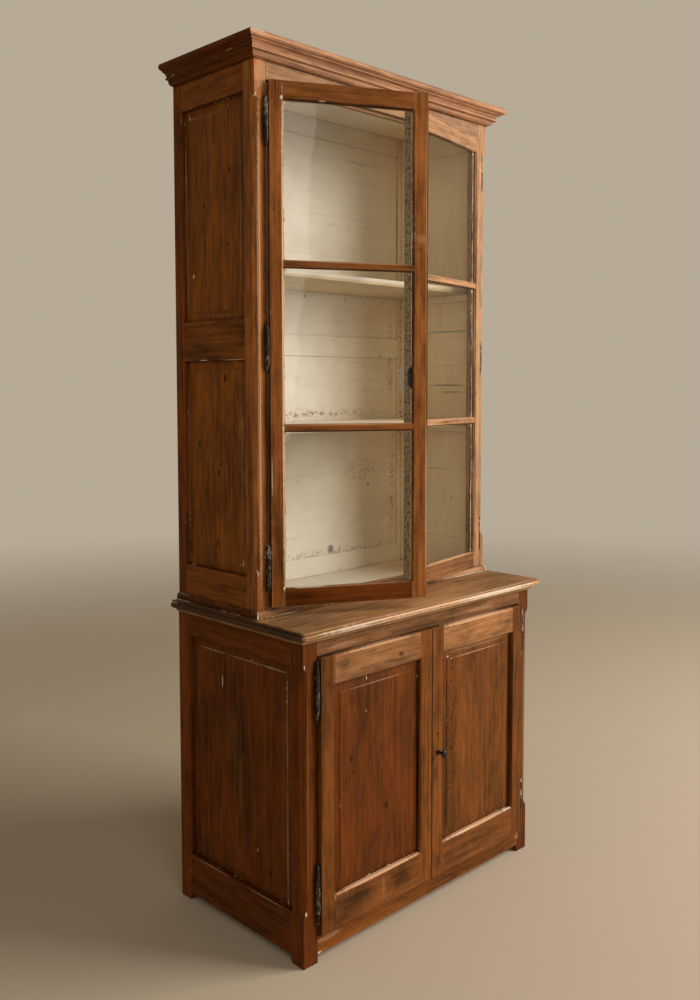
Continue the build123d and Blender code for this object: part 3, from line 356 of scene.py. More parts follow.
def make_stained_pine():
    """Old brown-stained pine, waxed, pale from fading and rubbed, with painted shade and highlights in places: its
    colour, roughness and height.
    """
    graph, given, end = shader_group(
        "stained pine",
        {"Grain": None, "Place": None, "Stain": RUSSET_STAIN, "Tone": 1.0, "Seed": 0.0, "Ring Width": 0.004,
         "Rings": 0.30, "Ring Colour": (0.40, 0.30, 0.24), "Heart Across": 0.0, "Heart Depth": 0.06, "Slope": 0.0,
         "Wander": 0.02, "Pull": 0.0, "Knot": 0.0, "Streaks": 1.0, "Blotches": 1.0, "Rub": 0.15,
         "Rubbed Wood": WORN_AND_LIT_WOOD, "Soot": 0.22, "Wear": 0.5, "Edge": 0.003, "Paint": 0.3, "Grime": 1.0,
         "Moss": 0.0, "Dark Marks": 0.0, "Pale Marks": 0.0, "Chips": 0.0},
        {"Color": "colour", "Roughness": "number", "Height": "number"},
    )
    grain = graph.use(
        BOARD_GRAIN, vector=given["Grain"], seed=given["Seed"], ring_width=given["Ring Width"],
        heart_across=given["Heart Across"], heart_depth=given["Heart Depth"], slope=given["Slope"],
        wander=given["Wander"], pull=given["Pull"],
    )
    streak = graph.product(graph.ramp(grain["Streaks"], 0.36, 0.64, -0.28, 0.28), given["Streaks"])
    blotch = graph.product(graph.ramp(grain["Blotches"], 0.30, 0.70, -0.30, 0.30), given["Blotches"])
    fibre = graph.ramp(grain["Fibre"], 0.32, 0.68, -0.25, 0.25)
    mottle = graph.noise(graph.scaled(given["Grain"], (1.0, 1.0, 0.22)), 75.0, 3.0, 0.65)
    mottle = graph.ramp(mottle, 0.36, 0.64, -0.19, 0.17)
    level = graph.product(graph.total(streak, blotch, fibre, mottle, 1.04), given["Tone"])
    wood = graph.brightened(given["Stain"], level)
    ringed = graph.vector("MULTIPLY", wood, given["Ring Colour"])
    wood = graph.mix(graph.product(grain["Rings"], given["Rings"]), wood, ringed)
    stretched = graph.scaled(given["Grain"], (1.0, 1.0, 0.35))
    rubbed = graph.ramp(graph.noise(stretched, 14.0, 5.0, 0.65), 0.50, 0.74)
    wood = graph.mix(graph.product(rubbed, given["Rub"]), wood, graph.brightened(given["Stain"], 2.0))
    pale_wood = graph.mix(graph.product(grain["Rings"], 0.35), given["Rubbed Wood"], CHESTNUT_STAIN)
    soot = graph.ramp(graph.noise(stretched, 5.5, 5.0, 0.66), 0.52, 0.78)
    wood = graph.mix(graph.product(soot, given["Soot"]), wood, graph.vector("MULTIPLY", wood, SOOTY))
    scratch = graph.noise(graph.scaled(given["Grain"], (1.0, 1.0, 0.07)), 190.0, 2.0, 0.7)
    wood = graph.mix(graph.ramp(scratch, 0.63, 0.72, 0.0, 0.45), wood, GRIME_AND_SHADE)
    wood = graph.mix(given["Knot"], wood, graph.vector("MULTIPLY", given["Stain"], KNOTTY))
    # Dark marks: smudges, and in places painted shade and shadow.
    wood = graph.mix(given["Dark Marks"], wood, graph.vector("MULTIPLY", wood, SMUDGE_AND_SHADE))
    edge = graph.use(EDGE_WEAR, vector=given["Place"], radius=given["Edge"], wear=given["Wear"],
                     paint=given["Paint"])
    # Corners darken towards near-black: dirt, and painted shade.
    wood = graph.mix(graph.product(edge["Grime"], given["Grime"], 0.80), wood, GRIME_AND_SHADE)
    moss = graph.ramp(graph.noise(given["Place"], 34.0, 4.0, 0.65), 0.36, 0.58, 0.35, 0.95)
    wood = graph.mix(graph.product(moss, given["Moss"]), wood, MOSSY_GRIME)
    # Worn edges and pale marks go paler: wear, and in places painted highlights.
    pale = graph.math("MAXIMUM", edge["Wear"], given["Pale Marks"])
    wood = graph.mix(pale, wood, pale_wood)
    paint = graph.math("MAXIMUM", edge["Paint"], given["Chips"])
    wood = graph.mix(paint, wood, CREAM)
    graph.feed(wood, end["Color"])
    rough = graph.total(graph.ramp(grain["Blotches"], 0.2, 0.8, 0.38, 0.60), graph.product(edge["Grime"], 0.2))
    graph.feed(graph.blend_values(paint, rough, 0.75), end["Roughness"])
    height = graph.total(graph.product(grain["Rings"], 0.35), graph.product(grain["Fibre"], 0.5),
                         graph.product(paint, 0.9), graph.product(edge["Wear"], -0.4))
    graph.feed(height, end["Height"])
    return graph.tree


def make_cream_paint():
    """Old brushed cream paint over boards, with rust, dirt, painted shade in the corners and worn edges: colour,
    roughness and height.
    """
    graph, given, end = shader_group(
        "cream paint",
        {"Grain": None, "Place": None, "Seed": 0.0, "Tone": 1.0, "Grime": 0.5, "Edge": 0.003, "Dark Marks": 0.0,
         "Rust Marks": 0.0, "Crumbs": 0.0, "Age": 0.0},
        {"Color": "colour", "Roughness": "number", "Height": "number"},
    )
    place = given["Place"]
    broad = graph.ramp(graph.noise(place, 3.2, 5.0, 0.62), 0.40, 0.72)
    age = graph.math("MAXIMUM", graph.ramp(graph.parts(place)[0], 0.0, 0.42), given["Age"])
    paint = graph.mix(graph.product(broad, 0.42), CREAM, CREAM_SHADE)
    paint = graph.vector("MULTIPLY", paint, graph.mix(age, YOUNG_CREAM, OLD_CREAM))
    brushed = graph.noise(graph.scaled(given["Grain"], (1.0, 1.0, 0.05)), 120.0, 3.0, 0.6)
    paint = graph.mix(graph.ramp(brushed, 0.50, 0.80, 0.0, 0.30), paint, CREAM_SHADE)
    cracks = graph.noise(graph.scaled(given["Grain"], (1.0, 1.0, 0.03)), 60.0, 2.0, 0.5)
    cracks = graph.ramp(graph.math("ABSOLUTE", graph.math("SUBTRACT", cracks, 0.5)), 0.0, 0.006, 0.12, 0.0)
    paint = graph.mix(cracks, paint, BARE_DARK)
    spots = graph.ramp(graph.noise(place, 75.0, 2.0, 0.5), 0.71, 0.76)
    paint = graph.mix(graph.product(spots, given["Grime"]), paint, RUST)
    edge = graph.use(EDGE_WEAR, vector=place, radius=given["Edge"], wear=given["Grime"], paint=0.0)
    # Corners darken towards dark wood: dirt, and painted shade.
    corner = graph.product(graph.ramp(edge["Grime"], 0.25, 0.95), graph.ramp(brushed, 0.25, 0.60, 0.55, 1.0))
    paint = graph.mix(graph.product(corner, 0.62), paint, BARE_DARK)
    paint = graph.mix(graph.product(edge["Wear"], 0.45), paint, CREAM_SHADE)
    crumbs = graph.ramp(graph.noise(place, 130.0, 3.0, 0.65), 0.49, 0.57)
    paint = graph.mix(graph.product(crumbs, given["Crumbs"]), paint, CRUMB)
    worn = graph.ramp(graph.noise(graph.scaled(given["Grain"], (1.0, 1.0, 0.12)), 45.0, 4.0, 0.7), 0.62, 0.74)
    paint = graph.mix(graph.product(worn, given["Grime"], 0.7), paint, BARE_DARK)
    paint = graph.mix(given["Rust Marks"], paint, RUST)
    paint = graph.mix(given["Dark Marks"], paint, PAINT_GRIME)
    graph.feed(graph.brightened(paint, given["Tone"]), end["Color"])
    graph.feed(graph.ramp(broad, 0.0, 1.0, 0.55, 0.75), end["Roughness"])
    height = graph.total(graph.product(brushed, 0.7), graph.product(cracks, -1.5), graph.product(edge["Wear"], -0.5))
    graph.feed(height, end["Height"])
    return graph.tree


def make_bare_pine():
    """Unfinished old pine, browned by age: colour, roughness and height."""
    graph, given, end = shader_group(
        "bare pine",
        {"Grain": None, "Seed": 0.0},
        {"Color": "colour", "Roughness": "number", "Height": "number"},
    )
    grain = graph.use(BOARD_GRAIN, vector=given["Grain"], seed=given["Seed"], ring_width=0.006, wander=0.04)
    wood = graph.mix(graph.product(grain["Rings"], 0.6), BARE_LIGHT, BARE_DARK)
    level = graph.product(graph.ramp(grain["Blotches"], 0.25, 0.75, 0.62, 1.1),
                          graph.ramp(grain["Fibre"], 0.3, 0.7, 0.85, 1.1))
    wood = graph.brightened(wood, level)
    dirt = graph.ramp(graph.noise(given["Grain"], 3.0, 5.0, 0.7), 0.45, 0.8, 0.0, 0.6)
    graph.feed(graph.mix(dirt, wood, GRIME_AND_SHADE), end["Color"])
    graph.feed(graph.ramp(grain["Blotches"], 0.2, 0.8, 0.7, 0.9), end["Roughness"])
    graph.feed(graph.total(grain["Rings"], graph.product(grain["Fibre"], 0.8)), end["Height"])
    return graph.tree


STAINED_PINE = make_stained_pine()
CREAM_PAINT = make_cream_paint()
BARE_PINE = make_bare_pine()

# Turns that lay the grain's Z along the piece, its X across the face and its Y into the board
UPRIGHT = Matrix.Identity(3)
UPRIGHT_SIDE = Matrix(((0, 1, 0), (-1, 0, 0), (0, 0, 1)))
ALONG_X = Matrix(((0, 0, -1), (0, 1, 0), (1, 0, 0)))
ALONG_X_FLAT = Matrix(((0, 1, 0), (0, 0, 1), (1, 0, 0)))
ALONG_Y = Matrix(((0, 0, 1), (1, 0, 0), (0, 1, 0)))
TOP_FACE = Matrix(((1, 0, 0), (0, 0, -1), (0, 1, 0)))


def door_turn(angle, axis):
    """The matrix that swings a point on an open glazed door back to where it is with the door shut."""
    pivot = Matrix.Translation((*axis, 0.0))
    return pivot @ Matrix.Rotation(-angle, 4, "Z") @ pivot.inverted()


SHUT = Matrix.Identity(4)
MIRRORED = Matrix.Diagonal((-1, 1, 1, 1))
LEFT_GLAZED = door_turn(LEFT_GLAZED_ANGLE, LEFT_GLAZED_AXIS)
RIGHT_GLAZED = door_turn(RIGHT_GLAZED_ANGLE, RIGHT_GLAZED_AXIS)


def mapped(graph, turn, lay=UPRIGHT):
    """Object coordinates, swung shut with their door and laid along the grain."""
    source = graph.add("ShaderNodeTexCoord").outputs["Object"]
    whole = lay.to_4x4() @ turn
    node = graph.add("ShaderNodeMapping", {"Vector": source})
    node.inputs["Location"].default_value = whole.to_translation()
    node.inputs["Rotation"].default_value = whole.to_euler("XYZ")
    return node.outputs[0]


def new_material(name):
    """An empty material: its graph, its surface shader and the material."""
    material = bpy.data.materials.new(name)
    material.use_nodes = True
    material.node_tree.nodes.clear()
    graph = Graph(material.node_tree)
    surface = graph.add("ShaderNodeBsdfPrincipled")
    output = graph.add("ShaderNodeOutputMaterial")
    graph.feed(surface.outputs[0], output.inputs["Surface"])
    return graph, surface, material


def finish_surface(graph, surface, finish, relief):
    """Joins a finish's colour, roughness and height to the surface shader."""
    graph.feed(finish["Color"], surface.inputs["Base Color"])
    graph.feed(finish["Roughness"], surface.inputs["Roughness"])
    bump = graph.add("ShaderNodeBump", {"Height": finish["Height"], "Distance": relief, "Strength": 0.6})
    graph.feed(bump.outputs[0], surface.inputs["Normal"])


def blended(graph, share, first, second):
    """Two finishes mixed by a share."""
    return {
        "Color": graph.mix(share, first["Color"], second["Color"]),
        "Roughness": graph.blend_values(share, first["Roughness"], second["Roughness"]),
        "Height": graph.blend_values(share, first["Height"], second["Height"]),
    }


def inner_face(graph, place):
    """1 on the faces that look into the upper case, 0 on those that look out."""
    x, y, _ = graph.parts(place)
    nx, ny, _ = graph.parts(graph.add("ShaderNodeNewGeometry").outputs["Normal"])
    inward = graph.product(graph.math("SIGN", x), nx, -1.0)
    sideways = graph.math("GREATER_THAN", inward, 0.4)
    backward = graph.math("GREATER_THAN", ny, 0.4)
    forward = graph.product(graph.math("LESS_THAN", ny, -0.4), graph.math("GREATER_THAN", y, 0.1))
    facing = graph.math("MAXIMUM", graph.math("MAXIMUM", sideways, backward), forward)
    within_side = graph.math("LESS_THAN", graph.math("ABSOLUTE", x), UPPER_SIDE - SIDE_SKIN)
    behind_door = graph.math("GREATER_THAN", y, POST_INNER_FACE)
    before_back = graph.math("LESS_THAN", y, BACK_FACE - BACK_SKIN)
    return graph.product(facing, within_side, behind_door, before_back)


def board_under_case(graph, place):
    """1 on the waist board's top where it is the floor of the upper case."""
    x, y, _ = graph.parts(place)
    normal = graph.parts(graph.add("ShaderNodeNewGeometry").outputs["Normal"])
    upward = graph.math("GREATER_THAN", normal[2], 0.6)
    within_side = graph.math("LESS_THAN", graph.math("ABSOLUTE", x), BOARD_INSIDE_REACH)
    behind_rail = graph.math("GREATER_THAN", y, UPPER_FRONT + RAIL_SKIN)
    return graph.product(upward, within_side, behind_rail)


def meeting_edge(graph, place):
    """1 on the right glazed door's edge that meets the left one."""
    return graph.math("LESS_THAN", graph.parts(place)[0], MEETING_EDGE)


def side_run(graph, place):
    """1 on a moulding's side runs and 0 on its front run, split at the mitre."""
    x, y, _ = graph.parts(place)
    out = graph.math("SUBTRACT", graph.math("ABSOLUTE", x), UPPER_SIDE)
    return graph.math("GREATER_THAN", out, graph.math("SUBTRACT", UPPER_FRONT, y))


SOFT_CORE, CRISP_CORE = -0.2, 0.6


def marked(graph, face, marks, soft=False):
    """How much of a face its marks cover. Each is (across, along, half width, half length, strength)."""
    across, _, along = graph.parts(face)
    ragged = graph.noise(face, 40.0 if soft else 140.0, 4.0, 0.6)
    cover = 0.0
    for at_across, at_along, half_width, half_length, strength in marks:
        cover = graph.use(
            FACE_MARK, across=across, along=along, ragged=ragged, at_across=at_across, at_along=at_along,
            half_width=half_width, half_length=half_length, strength=strength, core=SOFT_CORE if soft else CRISP_CORE,
            before=cover,
        )["Cover"]
    return cover


def stained(name, stain, lay=UPRIGHT, turn=SHUT, knots=(), dark=(), pale=(), chips=(), face=UPRIGHT,
            painted_part=None, lay_sides=None, side_stain=None, flame=None, foot=None, bevel_moss=None,
            marks_before=None, marks_left_of=None, less_worn_left_of=None, lines_inside=(), lines=(),
            paint_values=None, **values):
    """A stained pine material.

    Knots are (across, along, size) along the grain. Marks lie on the face: dark ones are soft, pale
    ones, chips of paint and lines are crisp, and marks_before and marks_left_of end them. A moulding
    has its own lay and stain on its side runs, a door rail below a height its foot stain and tone, and
    a panel moss on its bevels and a flame of rings beyond a place across its grain. A painted part is
    cream paint, with paint_values and lines_inside.
    """
    graph, surface, material = new_material(name)
    place = mapped(graph, turn)
    grain = mapped(graph, turn, lay)
    x, y, z = graph.parts(place)
    if foot is not None:
        limit, foot_stain, foot_tone = foot
        low = graph.math("LESS_THAN", z, limit)
        stain = graph.mix(low, stain, foot_stain)
        values["tone"] = graph.blend_values(low, values["tone"], foot_tone)
    if bevel_moss is not None:
        facing = graph.math("ABSOLUTE", graph.parts(graph.add("ShaderNodeNewGeometry").outputs["Normal"])[0])
        values["moss"] = graph.ramp(facing, 0.965, 0.997, bevel_moss, 0.0)
    if less_worn_left_of is not None:
        values["wear"] = graph.ramp(x, less_worn_left_of - 0.004, less_worn_left_of + 0.006, 0.04, values["wear"])
    if lay_sides is not None:
        side = side_run(graph, place)
        grain = graph.blend_vectors(side, grain, mapped(graph, turn, lay_sides))
        stain = graph.mix(side, stain, side_stain)
        values["rubbed_wood"] = graph.mix(side, WORN_AND_LIT_WOOD, HONEY_STAIN)
    if flame is not None:
        beyond, strength = flame
        values["rings"] = graph.ramp(graph.parts(grain)[0], beyond, beyond + 0.010, strength, values["rings"])
    for across, along, size in knots:
        knot = graph.use(KNOT, vector=grain, across=across, along=along, size=size,
                         pull=values.get("pull", 0.0), heart=values.get("knot", 0.0))
        values["pull"], values["knot"] = knot["Pull"], knot["Heart"]
    for socket, marks in (("dark_marks", dark), ("pale_marks", pale), ("chips", chips)):
        if marks:
            values[socket] = marked(graph, mapped(graph, turn, face), marks, soft=socket == "dark_marks")
            if marks_before is not None:
                values[socket] = graph.product(values[socket], graph.math("LESS_THAN", y, marks_before))
            if marks_left_of is not None:
                values[socket] = graph.product(values[socket], graph.math("LESS_THAN", x, marks_left_of))
    if lines:
        crisp = marked(graph, mapped(graph, turn, face), lines)
        values["dark_marks"] = graph.math("MAXIMUM", values.get("dark_marks", 0.0), crisp)
    finish = graph.use(STAINED_PINE, grain=grain, place=place, stain=stain, **values)
    if painted_part is not None:
        marks_inside = marked(graph, mapped(graph, turn, face), lines_inside) if lines_inside else 0.0
        paint = graph.use(CREAM_PAINT, grain=grain, place=place, seed=values.get("seed", 0.0),
                          dark_marks=marks_inside, **(paint_values or {}))
        finish = blended(graph, painted_part(graph, place), finish, paint)
    finish_surface(graph, surface, finish, STAINED_RELIEF)
    surface.inputs["Specular IOR Level"].default_value = WAXED_SHINE
    surface.inputs["Specular Tint"].default_value = WAXED_TINT
    return material


def painted(name, lay=UPRIGHT, turn=SHUT, bare_behind=None, bare_above=None, stile_reach=None, dark=(), rust=(),
            crumbs=(), shaded=None, **values):
    """A cream painted material, bare where the face looks out of the case.

    Shaded is (low, high, tone below, tone between) for the shelves: painted light below the low height, and painted
    shade, warmed by the age input, between the two heights, where the shelves get less light.
    """
    graph, surface, material = new_material(name)
    place = mapped(graph, turn)
    grain = mapped(graph, turn, lay)
    x, y, z = graph.parts(place)
    if stile_reach is not None:
        stile = graph.math("GREATER_THAN", graph.math("ABSOLUTE", x), stile_reach)
        grain = graph.blend_vectors(stile, grain, mapped(graph, turn, UPRIGHT))
    if shaded is not None:
        low, high, tone_below, tone_between = shaded
        above = graph.math("GREATER_THAN", z, low)
        between = graph.product(above, graph.math("LESS_THAN", z, high))
        upper = graph.blend_values(above, tone_below, values["tone"])
        values["tone"] = graph.blend_values(between, upper, tone_between)
        # The painted shade between the heights is also warmed, through the age input.
        values["age"] = between
    for socket, marks in (("dark_marks", dark), ("rust_marks", rust), ("crumbs", crumbs)):
        if marks:
            values[socket] = marked(graph, place, marks, soft=socket == "crumbs")
    finish = graph.use(CREAM_PAINT, grain=grain, place=place, **values)
    if bare_behind is not None or bare_above is not None:
        out = graph.math("GREATER_THAN", y, bare_behind) if bare_behind is not None else (
            graph.math("GREATER_THAN", z, bare_above))
        wood = graph.use(BARE_PINE, grain=grain, seed=values.get("seed", 0.0))
        finish = blended(graph, out, finish, wood)
    finish_surface(graph, surface, finish, PAINTED_RELIEF)
    surface.inputs["Specular IOR Level"].default_value = PAINTED_SHINE
    return material


def bare(name, lay=UPRIGHT, seed=0.0):
    """An unfinished pine material."""
    graph, surface, material = new_material(name)
    finish = graph.use(BARE_PINE, grain=mapped(graph, SHUT, lay), seed=seed)
    finish_surface(graph, surface, finish, BARE_RELIEF)
    return material


def iron(name, turn=SHUT, paint=0.5, rust=0.4, paint_colour=FLAKED_PAINT):
    """Old dark iron with rust and remains of paint."""
    graph, surface, material = new_material(name)
    place = mapped(graph, turn)
    mottle = graph.noise(place, 160.0, 3.0, 0.6)
    colour = graph.mix(graph.ramp(mottle, 0.45, 0.75, 0.0, rust), IRON, IRON_RUST)
    edge = graph.use(EDGE_WEAR, vector=place, radius=0.0015, wear=0.8, paint=0.0)
    colour = graph.mix(graph.product(edge["Wear"], 0.5), colour, IRON_RUBBED)
    level = graph.total(graph.noise(graph.scaled(place, (1.0, 1.0, 0.45)), 230.0, 3.0, 0.7),
                        graph.product(graph.math("SUBTRACT", graph.noise(place, 30.0), 0.5), 0.6))
    fleck = graph.ramp(level, 0.80 - 0.27 * paint, 0.88 - 0.27 * paint)
    colour = graph.mix(fleck, colour, paint_colour)
    # Corners darken towards near-black: dirt, and painted shade.
    colour = graph.mix(graph.product(edge["Grime"], 0.5), colour, GRIME_AND_SHADE)
    graph.feed(colour, surface.inputs["Base Color"])
    rough = graph.blend_values(fleck, graph.ramp(mottle, 0.3, 0.7, 0.34, 0.60), 0.8)
    graph.feed(rough, surface.inputs["Roughness"])
    graph.feed(graph.math("SUBTRACT", 0.80, fleck, clamp=True), surface.inputs["Metallic"])
    bump = graph.add("ShaderNodeBump", {"Height": graph.total(mottle, fleck), "Distance": 0.0004, "Strength": 0.7})
    graph.feed(bump.outputs[0], surface.inputs["Normal"])
    return material


def old_putty(name, turn):
    """Hard grey-brown putty with knife strokes, dirt and traces of cream paint."""
    graph, surface, material = new_material(name)
    place = mapped(graph, turn)
    broad = graph.noise(place, 18.0, 4.0, 0.65)
    colour = graph.mix(graph.ramp(broad, 0.35, 0.65), OLD_PUTTY, PUTTY_SHADE)
    colour = graph.mix(graph.ramp(graph.noise(place, 60.0, 3.0, 0.7), 0.54, 0.64, 0.0, 0.8), colour, CREAM)
    colour = graph.mix(graph.ramp(graph.noise(place, 95.0, 2.0, 0.6), 0.60, 0.68), colour, GRIME_AND_SHADE)
    graph.feed(colour, surface.inputs["Base Color"])
    graph.feed(graph.ramp(broad, 0.3, 0.7, 0.7, 0.9), surface.inputs["Roughness"])
    grit = graph.noise(place, 150.0, 3.0)
    bump = graph.add("ShaderNodeBump", {"Height": grit, "Distance": 0.0006, "Strength": 0.6})
    graph.feed(bump.outputs[0], surface.inputs["Normal"])
    return material


def old_glass(name, turn):
    """Drawn glass with slow waves and a little dust, which lets light through to the shelves."""
    graph, surface, material = new_material(name)
    place = mapped(graph, turn)
    dust = graph.ramp(graph.noise(place, 9.0, 5.0, 0.7), 0.45, 0.85, 0.01, 0.07)
    graph.feed(dust, surface.inputs["Roughness"])
    surface.inputs["Base Color"].default_value = GLASS_TINT
    surface.inputs["Transmission Weight"].default_value = 1.0
    surface.inputs["IOR"].default_value = 1.45
    wave = graph.noise(place, 7.0, 2.0)
    bump = graph.add("ShaderNodeBump", {"Height": wave, "Distance": 0.002, "Strength": 0.25})
    graph.feed(bump.outputs[0], surface.inputs["Normal"])
    clear = graph.add("ShaderNodeBsdfTransparent", {"Color": GLASS_LIGHT})
    path = graph.add("ShaderNodeLightPath").outputs
    passing = graph.math("MAXIMUM", path["Is Shadow Ray"], path["Is Diffuse Ray"])
    mixed = graph.add("ShaderNodeMixShader", {0: passing, 1: surface.outputs[0], 2: clear.outputs[0]})
    output = next(n for n in material.node_tree.nodes if n.type == "OUTPUT_MATERIAL")
    graph.feed(mixed.outputs[0], output.inputs["Surface"])
    return material


# The finish of every piece. Marks are (across, along, half width, half length, strength) on the
# face: X and Z on a front face, Y and Z on a side face, and X and Y on the waist board.


def give(material, slot, *names):
    """Puts a material on CAD pieces; its record slot is not used."""
    for name in names:
        piece = NODES[name]
        piece.data.materials.clear()
        piece.data.materials.append(material)


def pine(names, stain, seed, **values):
    """Gives CAD pieces their own stained pine."""
    names = names.split()
    give(stained(names[0].replace("_", " ") + " stain", stain, seed=seed, **values), "stained_pine", *names)


def ease_edges(width, names):
    """Rounds the edges of CAD pieces a little, as handling does."""
    for name in names:
        piece = NODES[name]
        weld = piece.modifiers.new("weld", "WELD")
        weld.merge_threshold = 0.00001
        flat = piece.modifiers.new("flat faces", "DECIMATE")
        flat.decimate_type = "DISSOLVE"
        flat.angle_limit = math.radians(0.5)
        bevel = piece.modifiers.new("eased edges", "BEVEL")
        bevel.width = width
        bevel.segments = 2
        bevel.limit_method = "ANGLE"
        bevel.angle_limit = math.radians(25)
        bevel.use_clamp_overlap = True


def finish_lower_case():
    pine("lower_front_left_post", WALNUT_STAIN, 1.3, tone=0.88, heart_across=-0.30, heart_depth=0.25, wear=0.40,
         paint=0.5, edge=0.003, marks_before=-0.2260, rubbed_wood=HONEY_STAIN,
         pale=((-0.431, 0.43, 0.0030, 0.29, 0.30), (-0.420, 0.30, 0.006, 0.10, 0.1)),
         chips=((-0.4375, 0.133, 0.0022, 0.007, 0.9), (-0.4400, 0.727, 0.0015, 0.006, 0.8)))
    pine("lower_front_right_post", WALNUT_STAIN, 2.9, tone=0.78, heart_across=0.60, heart_depth=0.20, wear=0.5,
         paint=0.7, edge=0.004, chips=((0.404, 0.050, 0.0008, 0.016, 0.7), (0.402, 0.655, 0.001, 0.050, 0.4)),
         pale=((0.428, 0.40, 0.004, 0.28, 0.25),))
    pine("lower_back_posts", WALNUT_STAIN, 3.1, lay=UPRIGHT_SIDE, tone=1.15, heart_across=0.10, wear=0.25, paint=0.3)
    # The dark lines at z 0.7815 along the rail's top are painted shadow under the waist board's nose.
    pine("lower_front_top_rail", HONEY_STAIN, 4.4, lay=ALONG_X, tone=0.62, heart_across=0.5, heart_depth=0.3,
         wear=0.3, paint=0.1, rub=0.12, soot=0.12, blotches=0.7,
         dark=((-0.105, 0.757, 0.050, 0.010, 0.65), (0.10, 0.752, 0.05, 0.006, 0.4), (0.33, 0.75, 0.06, 0.02, 0.5)),
         pale=((-0.31, 0.757, 0.06, 0.008, 0.25), (0.22, 0.76, 0.07, 0.006, 0.25)),
         lines=((-0.15, 0.7815, 0.42, 0.0030, 1.0), (0.15, 0.7815, 0.42, 0.0030, 1.0)))
    pine("lower_front_foot_rail", RUSSET_STAIN, 5.2, lay=ALONG_X, tone=0.95, heart_across=0.2, heart_depth=0.3,
         wear=0.55, paint=0.3, rub=0.20, pale=((-0.37, 0.052, 0.05, 0.008, 0.3),),
         chips=((0.397, 0.045, 0.002, 0.004, 0.7), (-0.396, 0.024, 0.008, 0.003, 0.8)),
         dark=((0.30, 0.035, 0.10, 0.020, 0.5),))
    pine("lower_left_side_rails lower_right_side_rails", WALNUT_STAIN, 6.7, lay=ALONG_Y, face=UPRIGHT_SIDE, tone=1.0,
         heart_across=0.2, heart_depth=0.1, wander=0.05, wear=0.30, paint=0.35, soot=0.5,
         chips=((0.12, 0.1240, 0.07, 0.0010, 0.40), (-0.09, 0.1240, 0.08, 0.0009, 0.45)),
         dark=((0.05, 0.772, 0.18, 0.008, 0.7),))
    pine("lower_left_side_panel lower_right_side_panel", WALNUT_STAIN, 7.7, lay=UPRIGHT_SIDE, face=UPRIGHT_SIDE,
         bevel_moss=0.75, rubbed_wood=OLIVE_WEAR, tone=0.98, heart_across=0.07, heart_depth=-0.410,
         slope=0.05, wander=0.08, rings=0.16, streaks=1.0, blotches=1.3, wear=0.75, paint=0.55, soot=0.6,
         knots=((-0.095, 0.185, 0.007), (0.03, 0.36, 0.004)),
         dark=((-0.05, 0.36, 0.012, 0.06, 0.6), (-0.06, 0.20, 0.03, 0.05, 0.5), (-0.13, 0.60, 0.05, 0.05, 0.4),
               (0.15, 0.5, 0.03, 0.15, 0.35)),
         pale=((0.02, 0.38, 0.010, 0.09, 0.10), (0.05, 0.50, 0.020, 0.08, 0.08), (0.13, 0.6996, 0.06, 0.0020, 0.75),
               (-0.01, 0.6996, 0.09, 0.0018, 0.70), (-0.12, 0.6996, 0.05, 0.0024, 0.65),
               (-0.1604, 0.55, 0.0016, 0.15, 0.55), (-0.1604, 0.28, 0.0016, 0.15, 0.60),
               (0.2240, 0.60, 0.0018, 0.12, 0.40)),
         chips=((0.0905, 0.625, 0.0022, 0.016, 0.8), (-0.047, 0.2285, 0.0022, 0.005, 0.6),
                (-0.030, 0.704, 0.006, 0.0012, 0.5), (-0.1585, 0.135, 0.0015, 0.010, 0.5)))
    give(bare("cupboard back wood", UPRIGHT, 1.0), "bare_pine", "lower_back_planks")
    give(bare("cupboard board wood", ALONG_X, 2.0), "bare_pine", "lower_back_rails", "lower_floor", "lower_shelf")
    # The dark lines at y -0.2468 are painted shade in the groove along the nose.
    pine("waist_board", OAK_STAIN, 9.1, less_worn_left_of=-0.458, lay=ALONG_X_FLAT, face=TOP_FACE, tone=1.00,
         heart_across=-0.25, heart_depth=0.03, slope=0.0, wander=0.03, rings=0.35, ring_width=0.006,
         rub=0.15, wear=0.55, paint=0.4, edge=0.004, streaks=0.6, blotches=0.7, soot=0.1, rubbed_wood=PALE_WEAR,
         painted_part=board_under_case,
         dark=((-0.28, -0.125, 0.12, 0.010, 0.6), (-0.476, 0.02, 0.024, 0.40, 1.0), (-0.476, 0.02, 0.024, 0.50, 1.0),
               (-0.476, -0.10, 0.022, 0.30, 1.0)),
         lines=((-0.15, -0.2468, 0.40, 0.0009, 0.75), (0.20, -0.2468, 0.40, 0.0009, 0.75),
                (-0.476, 0.0, 0.022, 0.60, 1.0)),
         pale=((-0.10, -0.2440, 0.36, 0.0011, 0.70), (0.25, -0.2440, 0.24, 0.0012, 0.75),
               (-0.10, -0.2505, 0.36, 0.0018, 0.85), (0.22, -0.2505, 0.26, 0.0020, 0.95),
               (0.4655, 0.0, 0.006, 0.3, 0.5)),
         chips=((0.28, -0.2510, 0.20, 0.0016, 0.65), (-0.30, -0.2512, 0.12, 0.0012, 0.5)))


